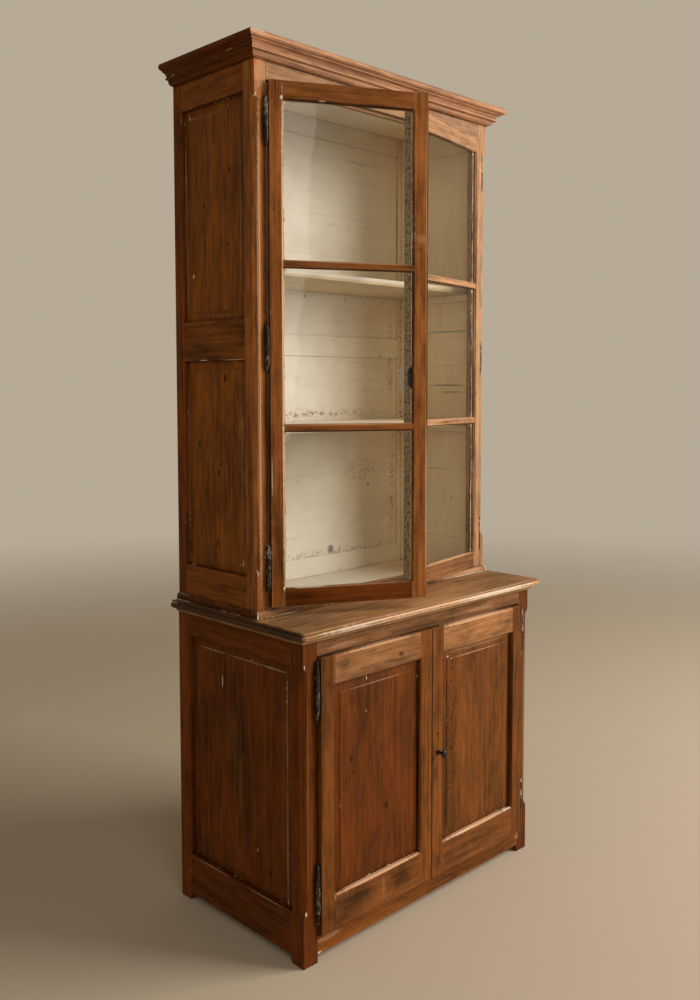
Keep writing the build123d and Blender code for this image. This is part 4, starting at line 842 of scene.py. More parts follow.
def finish_upper_case():
    # The pale lines at x -0.4310 are a worn arris and a painted highlight; the dark strip at x -0.410 beside the door
    # is painted shadow of the door and its hinges.
    pine("upper_front_left_post", CHESTNUT_STAIN, 11.3, tone=1.15, heart_across=-0.6, heart_depth=0.2, wear=0.45,
         paint=0.3, edge=0.003, rings=0.2, painted_part=inner_face, rubbed_wood=GOLDEN_WOOD, marks_before=-0.0550,
         pale=((-0.4310, 1.25, 0.0036, 0.42, 0.90), (-0.4310, 1.70, 0.0036, 0.40, 1.0),
               (-0.422, 2.12, 0.02, 0.04, 0.5)),
         dark=((-0.410, 1.4, 0.0060, 0.75, 0.8), (-0.436, 1.70, 0.004, 0.04, 0.5),
               (-0.4385, 1.45, 0.0030, 0.60, 0.45)),
         chips=((-0.4385, 2.066, 0.0020, 0.006, 0.8), (-0.4390, 0.925, 0.0018, 0.008, 0.5)))
    pine("upper_front_right_post", FADED_STAIN, 12.9, tone=1.0, heart_across=0.7, heart_depth=0.2, wear=0.7,
         paint=0.4, edge=0.004, rub=0.4, painted_part=inner_face,
         dark=((0.4080, 1.96, 0.0025, 0.060, 0.8), (0.4080, 0.98, 0.0025, 0.06, 0.5)))
    pine("upper_back_posts", WALNUT_STAIN, 13.1, lay=UPRIGHT_SIDE, tone=1.5, heart_across=0.1, wear=0.30,
         paint=0.4, painted_part=inner_face)
    pine("frieze_rail", FADED_STAIN, 14.4, lay=ALONG_X, tone=0.80, heart_across=0.5, heart_depth=0.3, wear=0.4,
         paint=0.1, rub=0.15, rings=0.30, soot=0.05, blotches=0.7, streaks=0.8, painted_part=inner_face,
         dark=((-0.38, 2.14, 0.04, 0.01, 0.4), (0.0, 2.150, 0.44, 0.006, 0.5), (0.2803, 2.1468, 0.006, 0.004, 0.8)))
    pine("upper_front_foot_rail", HONEY_STAIN, 15.2, lay=ALONG_X, tone=0.64, heart_across=0.5, heart_depth=0.3,
         wear=0.6, paint=0.5, rub=0.3, painted_part=inner_face)
    pine("upper_left_side_rails upper_right_side_rails", AMBER_STAIN, 16.7, lay=ALONG_Y, face=UPRIGHT_SIDE, tone=0.78,
         heart_across=0.2, heart_depth=0.1, wander=0.05, wear=0.30, paint=0.3, soot=0.6, painted_part=inner_face,
         chips=((0.02, 1.4440, 0.05, 0.0012, 0.8), (0.15, 1.4445, 0.02, 0.0015, 0.9)),
         dark=((-0.02, 1.51, 0.04, 0.03, 0.35), (0.0, 2.13, 0.08, 0.015, 0.4)))
    pine("upper_left_side_panels upper_right_side_panels", AMBER_STAIN, 17.7, lay=UPRIGHT_SIDE, face=UPRIGHT_SIDE,
         bevel_moss=0.45, rubbed_wood=OLIVE_WEAR, tone=0.88, heart_across=0.14, heart_depth=-0.405, slope=0.04,
         lines_inside=((0.07, 1.547, 0.09, 0.0016, 0.8), (0.07, 1.4485, 0.09, 0.0016, 0.8),
                       (0.07, 1.381, 0.08, 0.0022, 0.8), (0.05, 1.360, 0.05, 0.0016, 0.8),
                       (0.12, 1.12, 0.07, 0.0016, 0.5), (0.05, 1.03, 0.003, 0.004, 0.8)),
         wander=0.06, rings=0.14, streaks=0.7, wear=0.75, paint=0.45, soot=0.6, painted_part=inner_face,
         knots=((0.0484, 1.910, 0.005), (0.1515, 1.834, 0.005), (0.0555, 1.7313, 0.004), (0.0913, 1.183, 0.005),
                (0.100, 1.160, 0.006), (0.18, 1.23, 0.006), (0.0714, 1.40, 0.007)),
         dark=((0.107, 0.980, 0.014, 0.012, 0.8), (0.02, 1.37, 0.012, 0.04, 0.5), (0.1, 1.08, 0.05, 0.07, 0.35)),
         chips=((0.2117, 2.060, 0.003, 0.006, 0.8), (0.1995, 1.660, 0.004, 0.006, 0.7),
                (0.2310, 1.91, 0.002, 0.012, 0.7)),
         pale=((0.2325, 1.86, 0.0034, 0.20, 0.80), (0.2290, 1.66, 0.0046, 0.10, 0.65),
               (0.0052, 1.80, 0.0011, 0.24, 0.50), (0.10, 2.0565, 0.10, 0.0012, 0.45),
               (0.0052, 1.18, 0.0011, 0.22, 0.45), (0.2318, 1.18, 0.0030, 0.22, 0.55),
               (0.08, 1.5560, 0.06, 0.0020, 0.40)))
    pine("cornice", PEACH_WOOD, 18.3, lay=ALONG_X, lay_sides=ALONG_Y, side_stain=WALNUT_STAIN, tone=1.0,
         heart_across=2.6, heart_depth=0.4, wear=0.50, paint=-0.6, rub=0.15, edge=0.003, rings=0.5, soot=0.1,
         streaks=0.7, blotches=0.6,
         face=UPRIGHT_SIDE, marks_left_of=-0.4450,
         chips=((0.000, 2.1765, 0.016, 0.0007, 0.5), (0.055, 2.172, 0.004, 0.0006, 0.4),
                (-0.1040, 2.1720, 0.0018, 0.016, 0.8), (0.238, 2.1680, 0.0035, 0.0035, 0.9),
                (-0.1040, 2.195, 0.002, 0.006, 0.6)),
         pale=((0.08, 2.1985, 0.19, 0.0012, 0.5),))
    pine("foot_moulding", HONEY_STAIN, 19.3, lay=ALONG_X, lay_sides=ALONG_Y, side_stain=WALNUT_STAIN, tone=0.75,
         heart_across=1.2, heart_depth=0.3, wear=1.0, paint=1.35, rub=0.2, edge=0.006,
         pale=((0.32, 0.822, 0.13, 0.012, 0.7),))
    give(painted("back frame paint", ALONG_X, bare_behind=0.2624, stile_reach=0.3895, grime=0.6, seed=1.0,
                 crumbs=((0.405, 1.45, 0.02, 0.65, 0.9), (0.0, 0.90, 0.45, 0.015, 0.6)),
                 rust=((0.3578, 0.943, 0.004, 0.004, 0.8), (0.3902, 1.88, 0.0009, 0.23, 0.8),
                       (0.10, 2.1016, 0.34, 0.0008, 0.25))),
         "cream_painted_wood", "upper_back_frame")
    give(painted("back panel paint", ALONG_X, bare_behind=0.2560, grime=0.5, seed=2.0,
                 dark=((0.0984, 0.8859, 0.012, 0.014, 0.75), (0.2597, 1.0704, 0.005, 0.007, 0.6),
                       (-0.0052, 1.6403, 0.003, 0.006, 0.8), (0.2257, 1.6507, 0.005, 0.002, 0.7)),
                 crumbs=((0.0, 1.2960, 0.55, 0.016, 1.0), (0.37, 1.05, 0.02, 0.25, 0.9),
                         (0.36, 1.45, 0.02, 0.20, 0.8), (0.10, 0.875, 0.45, 0.020, 0.7),
                         (0.25, 1.12, 0.15, 0.05, 0.5)),
                 rust=((0.1619, 1.6387, 0.002, 0.008, 0.8), (0.3885, 1.88, 0.0011, 0.23, 0.8),
                       (0.3885, 1.40, 0.0010, 0.20, 0.4), (0.3885, 1.08, 0.0010, 0.25, 0.4),
                       (0.2432, 1.6392, 0.003, 0.002, 0.8), (0.3282, 1.6413, 0.002, 0.003, 0.8),
                       (0.15, 1.885, 0.25, 0.0010, 0.25),
                       (0.10, 1.765, 0.30, 0.0010, 0.20), (0.05, 1.115, 0.30, 0.0010, 0.2))),
         "cream_painted_wood", "upper_back_panels")
    # The shelf paint is lighter below z 1.40 and darker between 1.40 and 1.663: painted light and painted shade.
    give(painted("shelf paint", ALONG_X, grime=0.35, seed=3.0, tone=1.02, shaded=(1.40, 1.6630, 1.25, 0.74)),
         "cream_painted_wood", "upper_shelves")
    give(painted("bearer paint", ALONG_Y, grime=0.4, seed=4.0), "cream_painted_wood", "shelf_bearers")
    give(painted("roof board paint", ALONG_X, bare_above=2.1562, grime=0.5, seed=5.0),
         "cream_painted_wood", "roof_board")


def down_glazed_door(across, half_width, strength):
    """A mark that runs down a glazed door's whole opening."""
    return across, GLAZED_MIDDLE, half_width, GLAZED_REACH, strength


def down_meeting_edge(across, half_width, half_length, strength):
    """A mark down the edge of a cupboard door's meeting stile; the dark ones there are painted shade in the gap
    between the doors.
    """
    return across, CUPBOARD_MIDDLE, half_width, half_length, strength


def over_panes(sign, heights, half_length, half_width, strength):
    """Level marks over a glazed door's panes, at each of several heights."""
    return tuple((sign * 0.2, height, half_length, half_width, strength) for height in heights)


def finish_glazed_doors():
    for side, turn, stain, seed in (("left", LEFT_GLAZED, CHESTNUT_STAIN, 21.0),
                                    ("right", RIGHT_GLAZED, FADED_STAIN, 31.0)):
        sign = -1 if side == "left" else 1
        door = side + "_glazed_door_"
        common = {"turn": turn, "wander": 0.03, "heart_depth": 0.2, "edge": 0.003, "rings": 0.22}
        if side == "left":
            hinge_marks = {
                # The pale line at x -0.3745 down the inner chamfer is worn wood and a painted highlight.
                "pale": (down_glazed_door(-0.3745, 0.0028, 0.85),),
                "dark": ((-0.388, 0.98, 0.022, 0.28, 0.45), (-0.403, 1.47, 0.003, 0.62, 0.55),
                         (-0.39, 1.10, 0.012, 0.12, 0.3), (-0.398, 1.80, 0.008, 0.004, 0.8),
                         (-0.3811, 2.082, 0.0014, 0.020, 0.8)),
                "chips": ((-0.374, 2.0640, 0.0055, 0.0050, 1.0), (-0.3715, 0.885, 0.0055, 0.0050, 1.0),
                          (-0.3745, 1.275, 0.003, 0.009, 0.8), (-0.4035, 1.16, 0.0015, 0.05, 0.5))}
            meeting_marks = {
                # The dark band at x -0.0385 and the line at x -0.0396, along the inner chamfer, are painted shade.
                "dark": (down_glazed_door(-0.0385, 0.004, 0.7), (-0.022, 1.72, 0.016, 0.006, 0.5),
                         (-0.021, 1.87, 0.010, 0.08, 0.3), (-0.02, 1.33, 0.018, 0.03, 0.4)),
                "pale": ((-0.018, 1.745, 0.014, 0.012, 0.22), (-0.0055, 1.75, 0.0010, 0.34, 0.60),
                         (-0.0055, 1.15, 0.0010, 0.30, 0.45)),
                "chips": ((-0.0034, 1.07, 0.0014, 0.22, 0.55),),
                "lines": (down_glazed_door(-0.0018, 0.0014, 0.9), down_glazed_door(-0.0396, 0.0010, 1.0))}
            rail_marks = {
                # The dark marks and lines at z 2.0602 to 2.0605 are painted shadow under the top rail's lip; the pale
                # line at z 0.8825 is wear and a painted highlight on the foot rail's top.
                "dark": ((-0.2, 2.0605, 0.17, 0.0035, 0.85), (-0.13, 2.098, 0.05, 0.002, 0.6),
                         (-0.345, 0.86, 0.05, 0.018, 0.4), (-0.2, 0.846, 0.17, 0.006, 0.4)),
                "pale": ((-0.2, 0.8825, 0.17, 0.0018, 0.35),),
                "lines": ((-0.125, 2.0602, 0.115, 0.0042, 1.0), (-0.285, 2.0602, 0.105, 0.0042, 1.0)),
                "chips": ((-0.275, 2.0625, 0.010, 0.0014, 0.6), (-0.31, 0.8835, 0.05, 0.0012, 0.6))}
            rail_tone, meeting_tone, foot = 0.80, 1.08, (FOOT_RAIL_HEAD, WALNUT_STAIN, 0.85)
        else:
            hinge_marks = {
                # The dark line at x 0.3755 down the inner chamfer is painted shade.
                "dark": (down_glazed_door(0.3755, 0.0035, 0.75), (0.378, 1.10, 0.006, 0.14, 0.6)),
                "pale": (down_glazed_door(0.390, 0.010, 0.35),)}
            meeting_marks = {"dark": ((0.012, 1.48, 0.006, 0.6, 0.3),), "painted_part": meeting_edge,
                             "paint_values": {"tone": 0.50, "grime": 0.7, "crumbs": 0.75, "age": 1.0}}
            rail_marks = {
                # The dark mark and line at z 2.0596 to 2.0605 are painted shadow under the top rail's lip; the pale
                # line at z 0.8825 is wear and a painted highlight on the foot rail's top.
                "dark": ((0.21, 2.0605, 0.17, 0.0035, 0.7), (0.25, 0.862, 0.06, 0.010, 0.4)),
                "lines": ((0.2, 2.0596, 0.20, 0.0012, 0.9),),
                "pale": ((0.21, 0.8825, 0.17, 0.0022, 0.8),)}
            rail_tone, meeting_tone, foot = 0.98, 0.8, (FOOT_RAIL_HEAD, HONEY_STAIN, 0.70)
        pine(door + "hinge_stile", stain, seed, tone=1.0, heart_across=sign * 0.9, wear=0.45, paint=0.35,
             **hinge_marks, **common)
        pine(door + "meeting_stile", stain, seed + 1, tone=meeting_tone, heart_across=sign * 0.3, wear=0.4,
             paint=0.35, **meeting_marks, **common)
        pine(door + "rails", stain, seed + 2, lay=ALONG_X, tone=rail_tone, foot=foot, heart_across=0.3,
             wear=0.45, paint=0.3, **rail_marks, **common)
        # On the glazing bars the dark marks and lines are painted shade on their undersides, and the pale lines
        # painted highlights on their tops.
        pine(door + "glazing_bars", stain, seed + 3, lay=ALONG_X, tone=rail_tone, heart_across=0.9, wear=0.5,
             paint=0.6, dark=over_panes(sign, (1.269, 1.6645), 0.2, 0.0035, 0.8),
             pale=over_panes(sign, (1.2850, 1.6805), 0.2, 0.0016, 0.5),
             lines=over_panes(sign, (1.2678, 1.6633), 0.26, 0.0030, 1.0), **common)
        give(old_glass(side + " door glass", turn), "old_glass", door + "panes")
    give(iron("glazed keeper iron", LEFT_GLAZED, paint=0.15), "dark_iron", "left_glazed_door_keeper")
    give(painted("painted over lock", turn=RIGHT_GLAZED, grime=0.6, seed=7.0), "dark_iron",
         "right_glazed_door_lock", "glazed_door_lock_bolt")


def finish_panelled_doors():
    pine("left_panelled_door_hinge_stile", RUSSET_STAIN, 41.0, tone=0.92, heart_across=-0.7, heart_depth=0.2,
         wear=0.4, paint=0.3,
         dark=((-0.371, 0.112, 0.018, 0.035, 0.75), (-0.394, 0.40, 0.006, 0.30, 0.4), (-0.36, 0.63, 0.01, 0.06, 0.3)),
         pale=((-0.3555, 0.50, 0.0018, 0.15, 0.4),))
    pine("left_panelled_door_meeting_stile", RUSSET_STAIN, 42.0, tone=1.05, heart_across=0.2, heart_depth=0.2,
         wear=0.25, paint=0.1,
         dark=((-0.030, 0.13, 0.02, 0.05, 0.35), (-0.025, 0.66, 0.01, 0.06, 0.25),
               # The dark mark and line down the meeting edge are painted shade in the gap between the doors.
               down_meeting_edge(-0.0005, 0.0045, 0.42, 0.9)),
         lines=(down_meeting_edge(-0.0018, 0.0016, 0.46, 1.0),))
    pine("left_panelled_door_rails", HONEY_STAIN, 43.0, lay=ALONG_X, tone=0.80,
         foot=(CUPBOARD_FOOT_RAIL_HEAD, CHESTNUT_STAIN, 0.66), heart_across=0.4, heart_depth=0.1,
         slope=0.03, wander=0.05, wear=0.45, paint=0.2, rub=0.2, soot=0.45,
         knots=((-0.701, -0.1213, 0.0060),),
         dark=((-0.325, 0.7145, 0.060, 0.030, 0.75), (-0.285, 0.1200, 0.085, 0.050, 1.0),
               (-0.262, 0.125, 0.060, 0.036, 1.0), (-0.125, 0.1150, 0.075, 0.050, 1.0),
               (-0.120, 0.120, 0.055, 0.030, 1.0), (-0.33, 0.09, 0.06, 0.025, 0.7)),
         # The pale lines at z 0.7405 and 0.1535, on the door's top edge and the foot rail's top bevel, are wear and
         # painted highlights.
         pale=((-0.200, 0.7405, 0.150, 0.0034, 0.85), (-0.195, 0.1535, 0.170, 0.0036, 1.0),
               (-0.186, 0.118, 0.005, 0.030, 0.16), (-0.20, 0.70, 0.05, 0.012, 0.10)))
    pine("left_panelled_door_panel", WALNUT_STAIN, 44.0, tone=0.92, heart_across=-0.155, heart_depth=0.244,
         slope=0.09, wander=0.016, ring_width=0.0042, rings=0.30, streaks=0.8, blotches=0.9, wear=0.35,
         paint=0.25, soot=0.4,
         knots=((-0.293, 0.4712, 0.0055), (-0.2834, 0.4367, 0.0035), (-0.1684, 0.3189, 0.0060)),
         dark=((-0.273, 0.6214, 0.035, 0.035, 0.55), (-0.2093, 0.25, 0.06, 0.05, 0.25)),
         pale=((-0.200, 0.6455, 0.10, 0.0010, 0.4),),
         chips=((-0.2359, 0.6614, 0.0016, 0.007, 0.7), (-0.2408, 0.5794, 0.0014, 0.004, 0.5)))
    pine("right_panelled_door_meeting_stile", RUSSET_STAIN, 52.0, tone=1.0, heart_across=-0.2, heart_depth=0.2,
         wear=0.35, paint=0.2,
         dark=((0.0228, 0.5722, 0.004, 0.03, 0.6), (0.024, 0.105, 0.022, 0.045, 0.8), (0.014, 0.36, 0.012, 0.04, 0.8),
               # The dark mark and line down the meeting edge are painted shade in the gap between the doors.
               down_meeting_edge(0.0005, 0.0045, 0.42, 0.9)),
         lines=(down_meeting_edge(0.0018, 0.0014, 0.46, 0.9),))
    pine("right_panelled_door_hinge_stile", RUSSET_STAIN, 51.0, tone=0.85, heart_across=0.7, heart_depth=0.2,
         # The dark mark at x 0.3565 and the line at x 0.3553, along the opening's right edge, are painted shadow with
         # dirt.
         wear=0.4, paint=0.2, dark=((0.3565, 0.42, 0.003, 0.25, 0.7), (0.375, 0.50, 0.006, 0.12, 0.35)),
         lines=((0.3553, 0.43, 0.0016, 0.30, 1.0),))
    pine("right_panelled_door_rails", HONEY_STAIN, 53.0, lay=ALONG_X, tone=1.02,
         foot=(CUPBOARD_FOOT_RAIL_HEAD, CHESTNUT_STAIN, 0.70), heart_across=0.4, heart_depth=0.1,
         wander=0.05, wear=0.45, paint=0.2, rub=0.25,
         dark=((0.20, 0.11, 0.16, 0.035, 0.55), (0.08, 0.10, 0.05, 0.03, 0.5), (0.33, 0.70, 0.03, 0.02, 0.35)),
         # The pale lines at z 0.7400 and 0.1530, on the door's top edge and the foot rail's top bevel, are wear and
         # painted highlights.
         pale=((0.180, 0.7400, 0.160, 0.0050, 1.0), (0.200, 0.1530, 0.170, 0.0044, 1.0)),
         chips=((0.330, 0.1535, 0.020, 0.0020, 0.7), (0.14, 0.1535, 0.060, 0.0011, 0.5)))
    pine("right_panelled_door_panel", RUSSET_STAIN, 54.0, tone=0.92, heart_across=0.0885, heart_depth=0.2355,
         slope=-0.30, wander=0.008, ring_width=0.0050, rings=0.0, flame=(0.104, 2.2),
         ring_colour=(0.34, 0.27, 0.20), streaks=0.8, blotches=0.8, wear=0.55, paint=0.45, soot=0.4,
         knots=((0.2879, 0.6005, 0.0035),),
         pale=((0.200, 0.6455, 0.10, 0.0012, 0.6), (0.20, 0.664, 0.15, 0.007, 0.25)),
         # The dark mark at x 0.345 beside the opening's right edge is painted shadow with dirt.
         dark=((0.345, 0.42, 0.010, 0.25, 0.5),),
         lines=((0.0708, 0.42, 0.0012, 0.26, 0.8),),
         chips=((0.0750, 0.6530, 0.005, 0.002, 0.8),))
    give(iron("cupboard lock iron", paint=0.1), "dark_iron", "left_panelled_door_keeper",
         "right_panelled_door_lock", "panelled_door_lock_bolt")


finish_lower_case()
finish_upper_case()
finish_glazed_doors()
finish_panelled_doors()

WOODEN = [name for name in NODES if not any(
    word in name for word in ("panes", "hinge_halves", "lock", "keeper", "knob"))]
ease_edges(EASED_EDGE, WOODEN)


# Modelling


def pick(kind, test):
    """Selects the faces, edges or verts of the piece in edit mode that pass a test."""
    bpy.ops.mesh.select_all(action="DESELECT")
    bpy.ops.mesh.select_mode(type={"faces": "FACE", "edges": "EDGE", "verts": "VERT"}[kind])
    mesh = bpy.context.active_object.data
    shape = bmesh.from_edit_mesh(mesh)
    for part in getattr(shape, kind):
        part.select_set(bool(test(part)))
    bmesh.update_edit_mesh(mesh)


def draw_out(*step):
    """Extrudes what is selected by a step."""
    bpy.ops.mesh.extrude_region_move(TRANSFORM_OT_translate={"value": step})


def edit(on):
    """Enters or leaves edit mode."""
    bpy.ops.object.mode_set(mode="EDIT" if on else "OBJECT")


def close_up():
    """Leaves edit mode with every face pointing outwards."""
    bpy.ops.mesh.select_all(action="SELECT")
    bpy.ops.mesh.normals_make_consistent(inside=False)
    edit(False)


def settled(piece, name, material=None, smooth=None):
    """Names a piece and puts its place into its mesh."""
    bpy.ops.object.select_all(action="DESELECT")
    piece.select_set(True)
    bpy.context.view_layer.objects.active = piece
    bpy.ops.object.transform_apply(location=True, rotation=True, scale=True)
    if smooth is not None:
        bpy.ops.object.shade_smooth_by_angle(angle=math.radians(smooth))
    piece.name = name
    piece.data.name = name
    if material is not None:
        piece.data.materials.clear()
        piece.data.materials.append(material)
    return piece


def joined(pieces, name, material, smooth=None):
    """Several shapes as one piece with one material."""
    bpy.ops.object.select_all(action="DESELECT")
    for piece in pieces:
        piece.select_set(True)
    bpy.context.view_layer.objects.active = pieces[0]
    if len(pieces) > 1:
        bpy.ops.object.join()
    return settled(bpy.context.view_layer.objects.active, name, material, smooth=smooth)


def copied(piece, matrix):
    """A copy of a settled piece with its own mesh, moved by a matrix."""
    other = piece.copy()
    other.data = piece.data.copy()
    bpy.context.scene.collection.objects.link(other)
    other.matrix_world = matrix
    bpy.ops.object.select_all(action="DESELECT")
    other.select_set(True)
    bpy.context.view_layer.objects.active = other
    bpy.ops.object.transform_apply(location=True, rotation=True, scale=True)
    if matrix.determinant() < 0:
        edit(True)
        close_up()
    return other


def turned(start, direction, steps, sides=24):
    """A shape drawn out from a disc and scaled at each step, as on a lathe. Steps are (distance, radius)."""
    direction = Vector(direction)
    lean = Vector((0, 0, 1)).rotation_difference(direction).to_euler()
    bpy.ops.mesh.primitive_circle_add(vertices=sides, radius=steps[0][1], fill_type="NGON",
                                      location=Vector(start) + direction * steps[0][0], rotation=lean)
    edit(True)
    bpy.ops.mesh.select_all(action="SELECT")
    for (distance, radius), (before, last_radius) in zip(steps[1:], steps):
        draw_out(*(direction * (distance - before)))
        share = radius / last_radius
        bpy.ops.transform.resize(value=(share, share, share))
    close_up()
    bpy.ops.object.transform_apply(location=True, rotation=True, scale=True)
    return bpy.context.active_object


def keep(piece, body, slot, *replaced):
    """Lets a finished piece ride on its body and stand for the CAD nodes that it replaces."""
    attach(piece, body)
    if replaced:
        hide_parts(*replaced)


# Stop laths

LATH_SPAN = (0.3922, 0.4073)
LATH_DEPTH = (GLAZED_BACK + 0.0004, GLAZED_BACK + 0.0060)
LATH_HEIGHT = (0.8455, 2.0975)
LATH_EASE = 0.0016


def make_stop_laths():
    """The laths on the posts that the shut glazed doors rest against."""
    (x0, x1), (y0, y1), (z0, z1) = LATH_SPAN, LATH_DEPTH, LATH_HEIGHT
    bpy.ops.mesh.primitive_cube_add(size=1.0, location=((x0 + x1) / 2, (y0 + y1) / 2, (z0 + z1) / 2))
    edit(True)
    bpy.ops.mesh.select_all(action="SELECT")
    bpy.ops.transform.resize(value=(x1 - x0, y1 - y0, z1 - z0))
    pick("edges", lambda edge: all(vert.co.x < 0 for vert in edge.verts)
         and abs(edge.verts[0].co.z - edge.verts[1].co.z) > 0.5)
    bpy.ops.mesh.bevel(offset=LATH_EASE, segments=3)
    close_up()
    pattern = settled(bpy.context.active_object, "lath pattern", smooth=30)
    for side, place, seed in (("left", MIRRORED, 60.0), ("right", SHUT, 62.0)):
        lath = copied(pattern, place)
        finish = stained(side + " stop lath stain", WALNUT_STAIN, seed=seed, tone=0.9, wear=0.3, paint=0.2,
                         grime=0.8)
        keep(settled(lath, side + "_post_stop_lath", finish), "case", "stained_pine")
    bpy.data.objects.remove(pattern)


# Hinges


def hinge_leaf(low, high):
    """A leaf with eased corners, its plate along Y, between two (x, z) corners."""
    (x0, z0), (x1, z1) = low, high
    bpy.ops.mesh.primitive_cube_add(size=1.0, location=((x0 + x1) / 2, LEAF_DEPTH / 2, (z0 + z1) / 2))
    edit(True)
    bpy.ops.mesh.select_all(action="SELECT")
    bpy.ops.transform.resize(value=(x1 - x0, LEAF_DEPTH, z1 - z0))
    pick("edges", lambda edge: all(vert.co.y > 0 for vert in edge.verts)
         and abs(edge.verts[0].co.x - edge.verts[1].co.x) > LEAF_THICK / 2)
    bpy.ops.mesh.bevel(offset=LEAF_CORNER, segments=3)
    close_up()
    bpy.ops.object.transform_apply(location=True, rotation=True, scale=True)
    return bpy.context.active_object


def hinge_half(upward, finial):
    """One half of a left hinge round the Z axis: a turned barrel, a leaf and its screws."""
    way = 1 if upward else -1
    long = BARREL_LENGTH
    pin = ((0.0410, 0.00305), (0.0, 0.00305)) if upward else ((-0.0400, 0.0030), (0.0, 0.0030))
    barrel = turned(
        (0, 0, way * BARREL_GAP / 2), (0, 0, way),
        (*pin, (0.0, 0.0054), (0.0007, BARREL_RADIUS), (long - 0.0150, BARREL_RADIUS), (long - 0.0145, 0.0053),
         (long - 0.0130, 0.0053), (long - 0.0125, 0.0059), (long - 0.0095, 0.0059), (long - 0.0090, 0.0050),
         (long - 0.0030, 0.0046), (long, 0.0040), (long + finial * 0.5, 0.0031), (long + finial * 0.9, 0.0017),
         (long + finial, 0.0005)), sides=18)
    reach = LEAF_REVEAL[1] if upward else LEAF_REVEAL[0]
    foot, head = (BARREL_GAP * 1.5, long - 0.005) if upward else (-long + 0.005, -BARREL_GAP * 1.5)
    leaf = hinge_leaf((reach, foot), (reach + LEAF_THICK, head))
    face, outward = (reach, -1) if upward else (reach + LEAF_THICK, 1)
    screws = [turned((face, LEAF_DEPTH * 0.60, foot + (head - foot) * share), (outward, 0, 0),
                     SCREW_PROFILE, sides=12) for share in SCREW_SHARES]
    return joined([barrel, leaf, *screws], "hinge half", None)


def place_hinges(halves, name, finish, places):
    """Copies a hinge half to each of its places, joins them and gives the piece its iron."""
    copies = [copied(halves[kind], matrix) for kind, matrix in places]
    return joined(copies, name, finish, smooth=30)


def make_hinges():
    """The doors' hinge halves, each door's on its own body, and the case's halves with their pins."""
    finials = {"glazed": GLAZED_FINIAL, "cupboard": CUPBOARD_FINIAL}
    raised = {kind: hinge_half(True, finial) for kind, finial in finials.items()}
    fixed = {kind: hinge_half(False, finial) for kind, finial in finials.items()}
    upright = [Matrix.Translation((*LEFT_GLAZED_AXIS, height)) for height in UPPER_HINGES]
    low = [Matrix.Translation((-LOWER_AXIS[0], LOWER_AXIS[1], height)) for height in LOWER_HINGES]
    jobs = (
        ("left_glazed_door", "glazed", upright, LEFT_GLAZED.inverted(), LEFT_GLAZED, 1.05, (0.27, 0.24, 0.165)),
        ("right_glazed_door", "glazed", upright, RIGHT_GLAZED.inverted() @ MIRRORED, RIGHT_GLAZED, 1.3,
         (0.50, 0.34, 0.24)),
        ("left_panelled_door", "cupboard", low, SHUT, SHUT, 0.90, (0.185, 0.165, 0.110)),
        ("right_panelled_door", "cupboard", low, MIRRORED, SHUT, 1.20, (0.46, 0.38, 0.22)),
    )
    for door, kind, heights, swing, turn, paint, colour in jobs:
        finish = iron(door.replace("_", " ") + " hinge iron", turn, paint=paint, paint_colour=colour)
        piece = place_hinges(raised, door + "_turned_hinge_halves", finish,
                             [(kind, swing @ height) for height in heights])
        keep(piece, door, "hinge_iron", door + "_hinge_halves")
    places = [(kind, side @ height) for kind, heights in (("glazed", upright), ("cupboard", low))
              for side in (SHUT, MIRRORED) for height in heights]
    finish = iron("case hinge iron", paint=0.95, paint_colour=(0.22, 0.195, 0.135))
    keep(place_hinges(fixed, "case_turned_hinge_halves", finish, places), "case", "hinge_iron",
         "case_hinge_halves")
    for pattern in (*raised.values(), *fixed.values()):
        bpy.data.objects.remove(pattern)


# Knob and keyhole

KNOB_PROFILE = (
    (-0.0150, 0.0040), (0.0, 0.0040), (0.0, 0.0085), (0.0012, 0.0085), (0.0020, 0.0078), (0.0030, 0.0052),
    (0.0060, 0.0040), (0.0100, 0.0038), (0.0138, 0.0042), (0.0147, 0.0050), (0.0157, 0.0050), (0.0166, 0.0044),
    (0.0176, 0.0066), (0.0195, 0.0092), (0.0220, 0.0103), (0.0245, 0.0100), (0.0267, 0.0078), (0.0277, 0.0046),
    (0.0280, 0.0010))
PIN_PROFILE = ((-0.0020, 0.0010), (0.0001, 0.0012), (0.0004, 0.0011), (0.0006, 0.0006))


def make_knob():
    """The turned knob, and the pins over and under the keyhole."""
    knob = turned(KNOB_PLACE, (0, -1, 0), KNOB_PROFILE, sides=36)
    finish = iron("knob iron", paint=0.05, rust=0.6)
    keep(joined([knob], "turned_cupboard_knob", finish, smooth=35), "right_panelled_door", "dark_iron",
         "right_panelled_door_knob")
    pins = [turned((KEYHOLE_ACROSS, KNOB_PLACE[1], height), (0, -1, 0), PIN_PROFILE, sides=12)
            for height in KEYHOLE_PINS]
    keep(joined(pins, "keyhole_pins", iron("keyhole pin iron", paint=0.0)), "right_panelled_door", "dark_iron")


# Glazing

PUTTY_PLAY = 0.0002
PUTTY_BED = 0.0001
PUTTY_LIP = 0.0003
PUTTY_SINK = 0.0006
PUTTY_CUTS = 24
PUTTY_WOBBLE = 0.0004
TRAIL_WIDTH = 0.0042
TRAIL_STEPS = 60
TRAIL_THICK = 0.00016
TRAIL_GAP = 0.00008
DROP_GAP = 0.0003
UPPER_DROP = (0.0045, 0.0004, 0.0055)
LOWER_DROP = (0.0040, 0.0004, 0.0045)
LOWER_DROP_SEED = 5


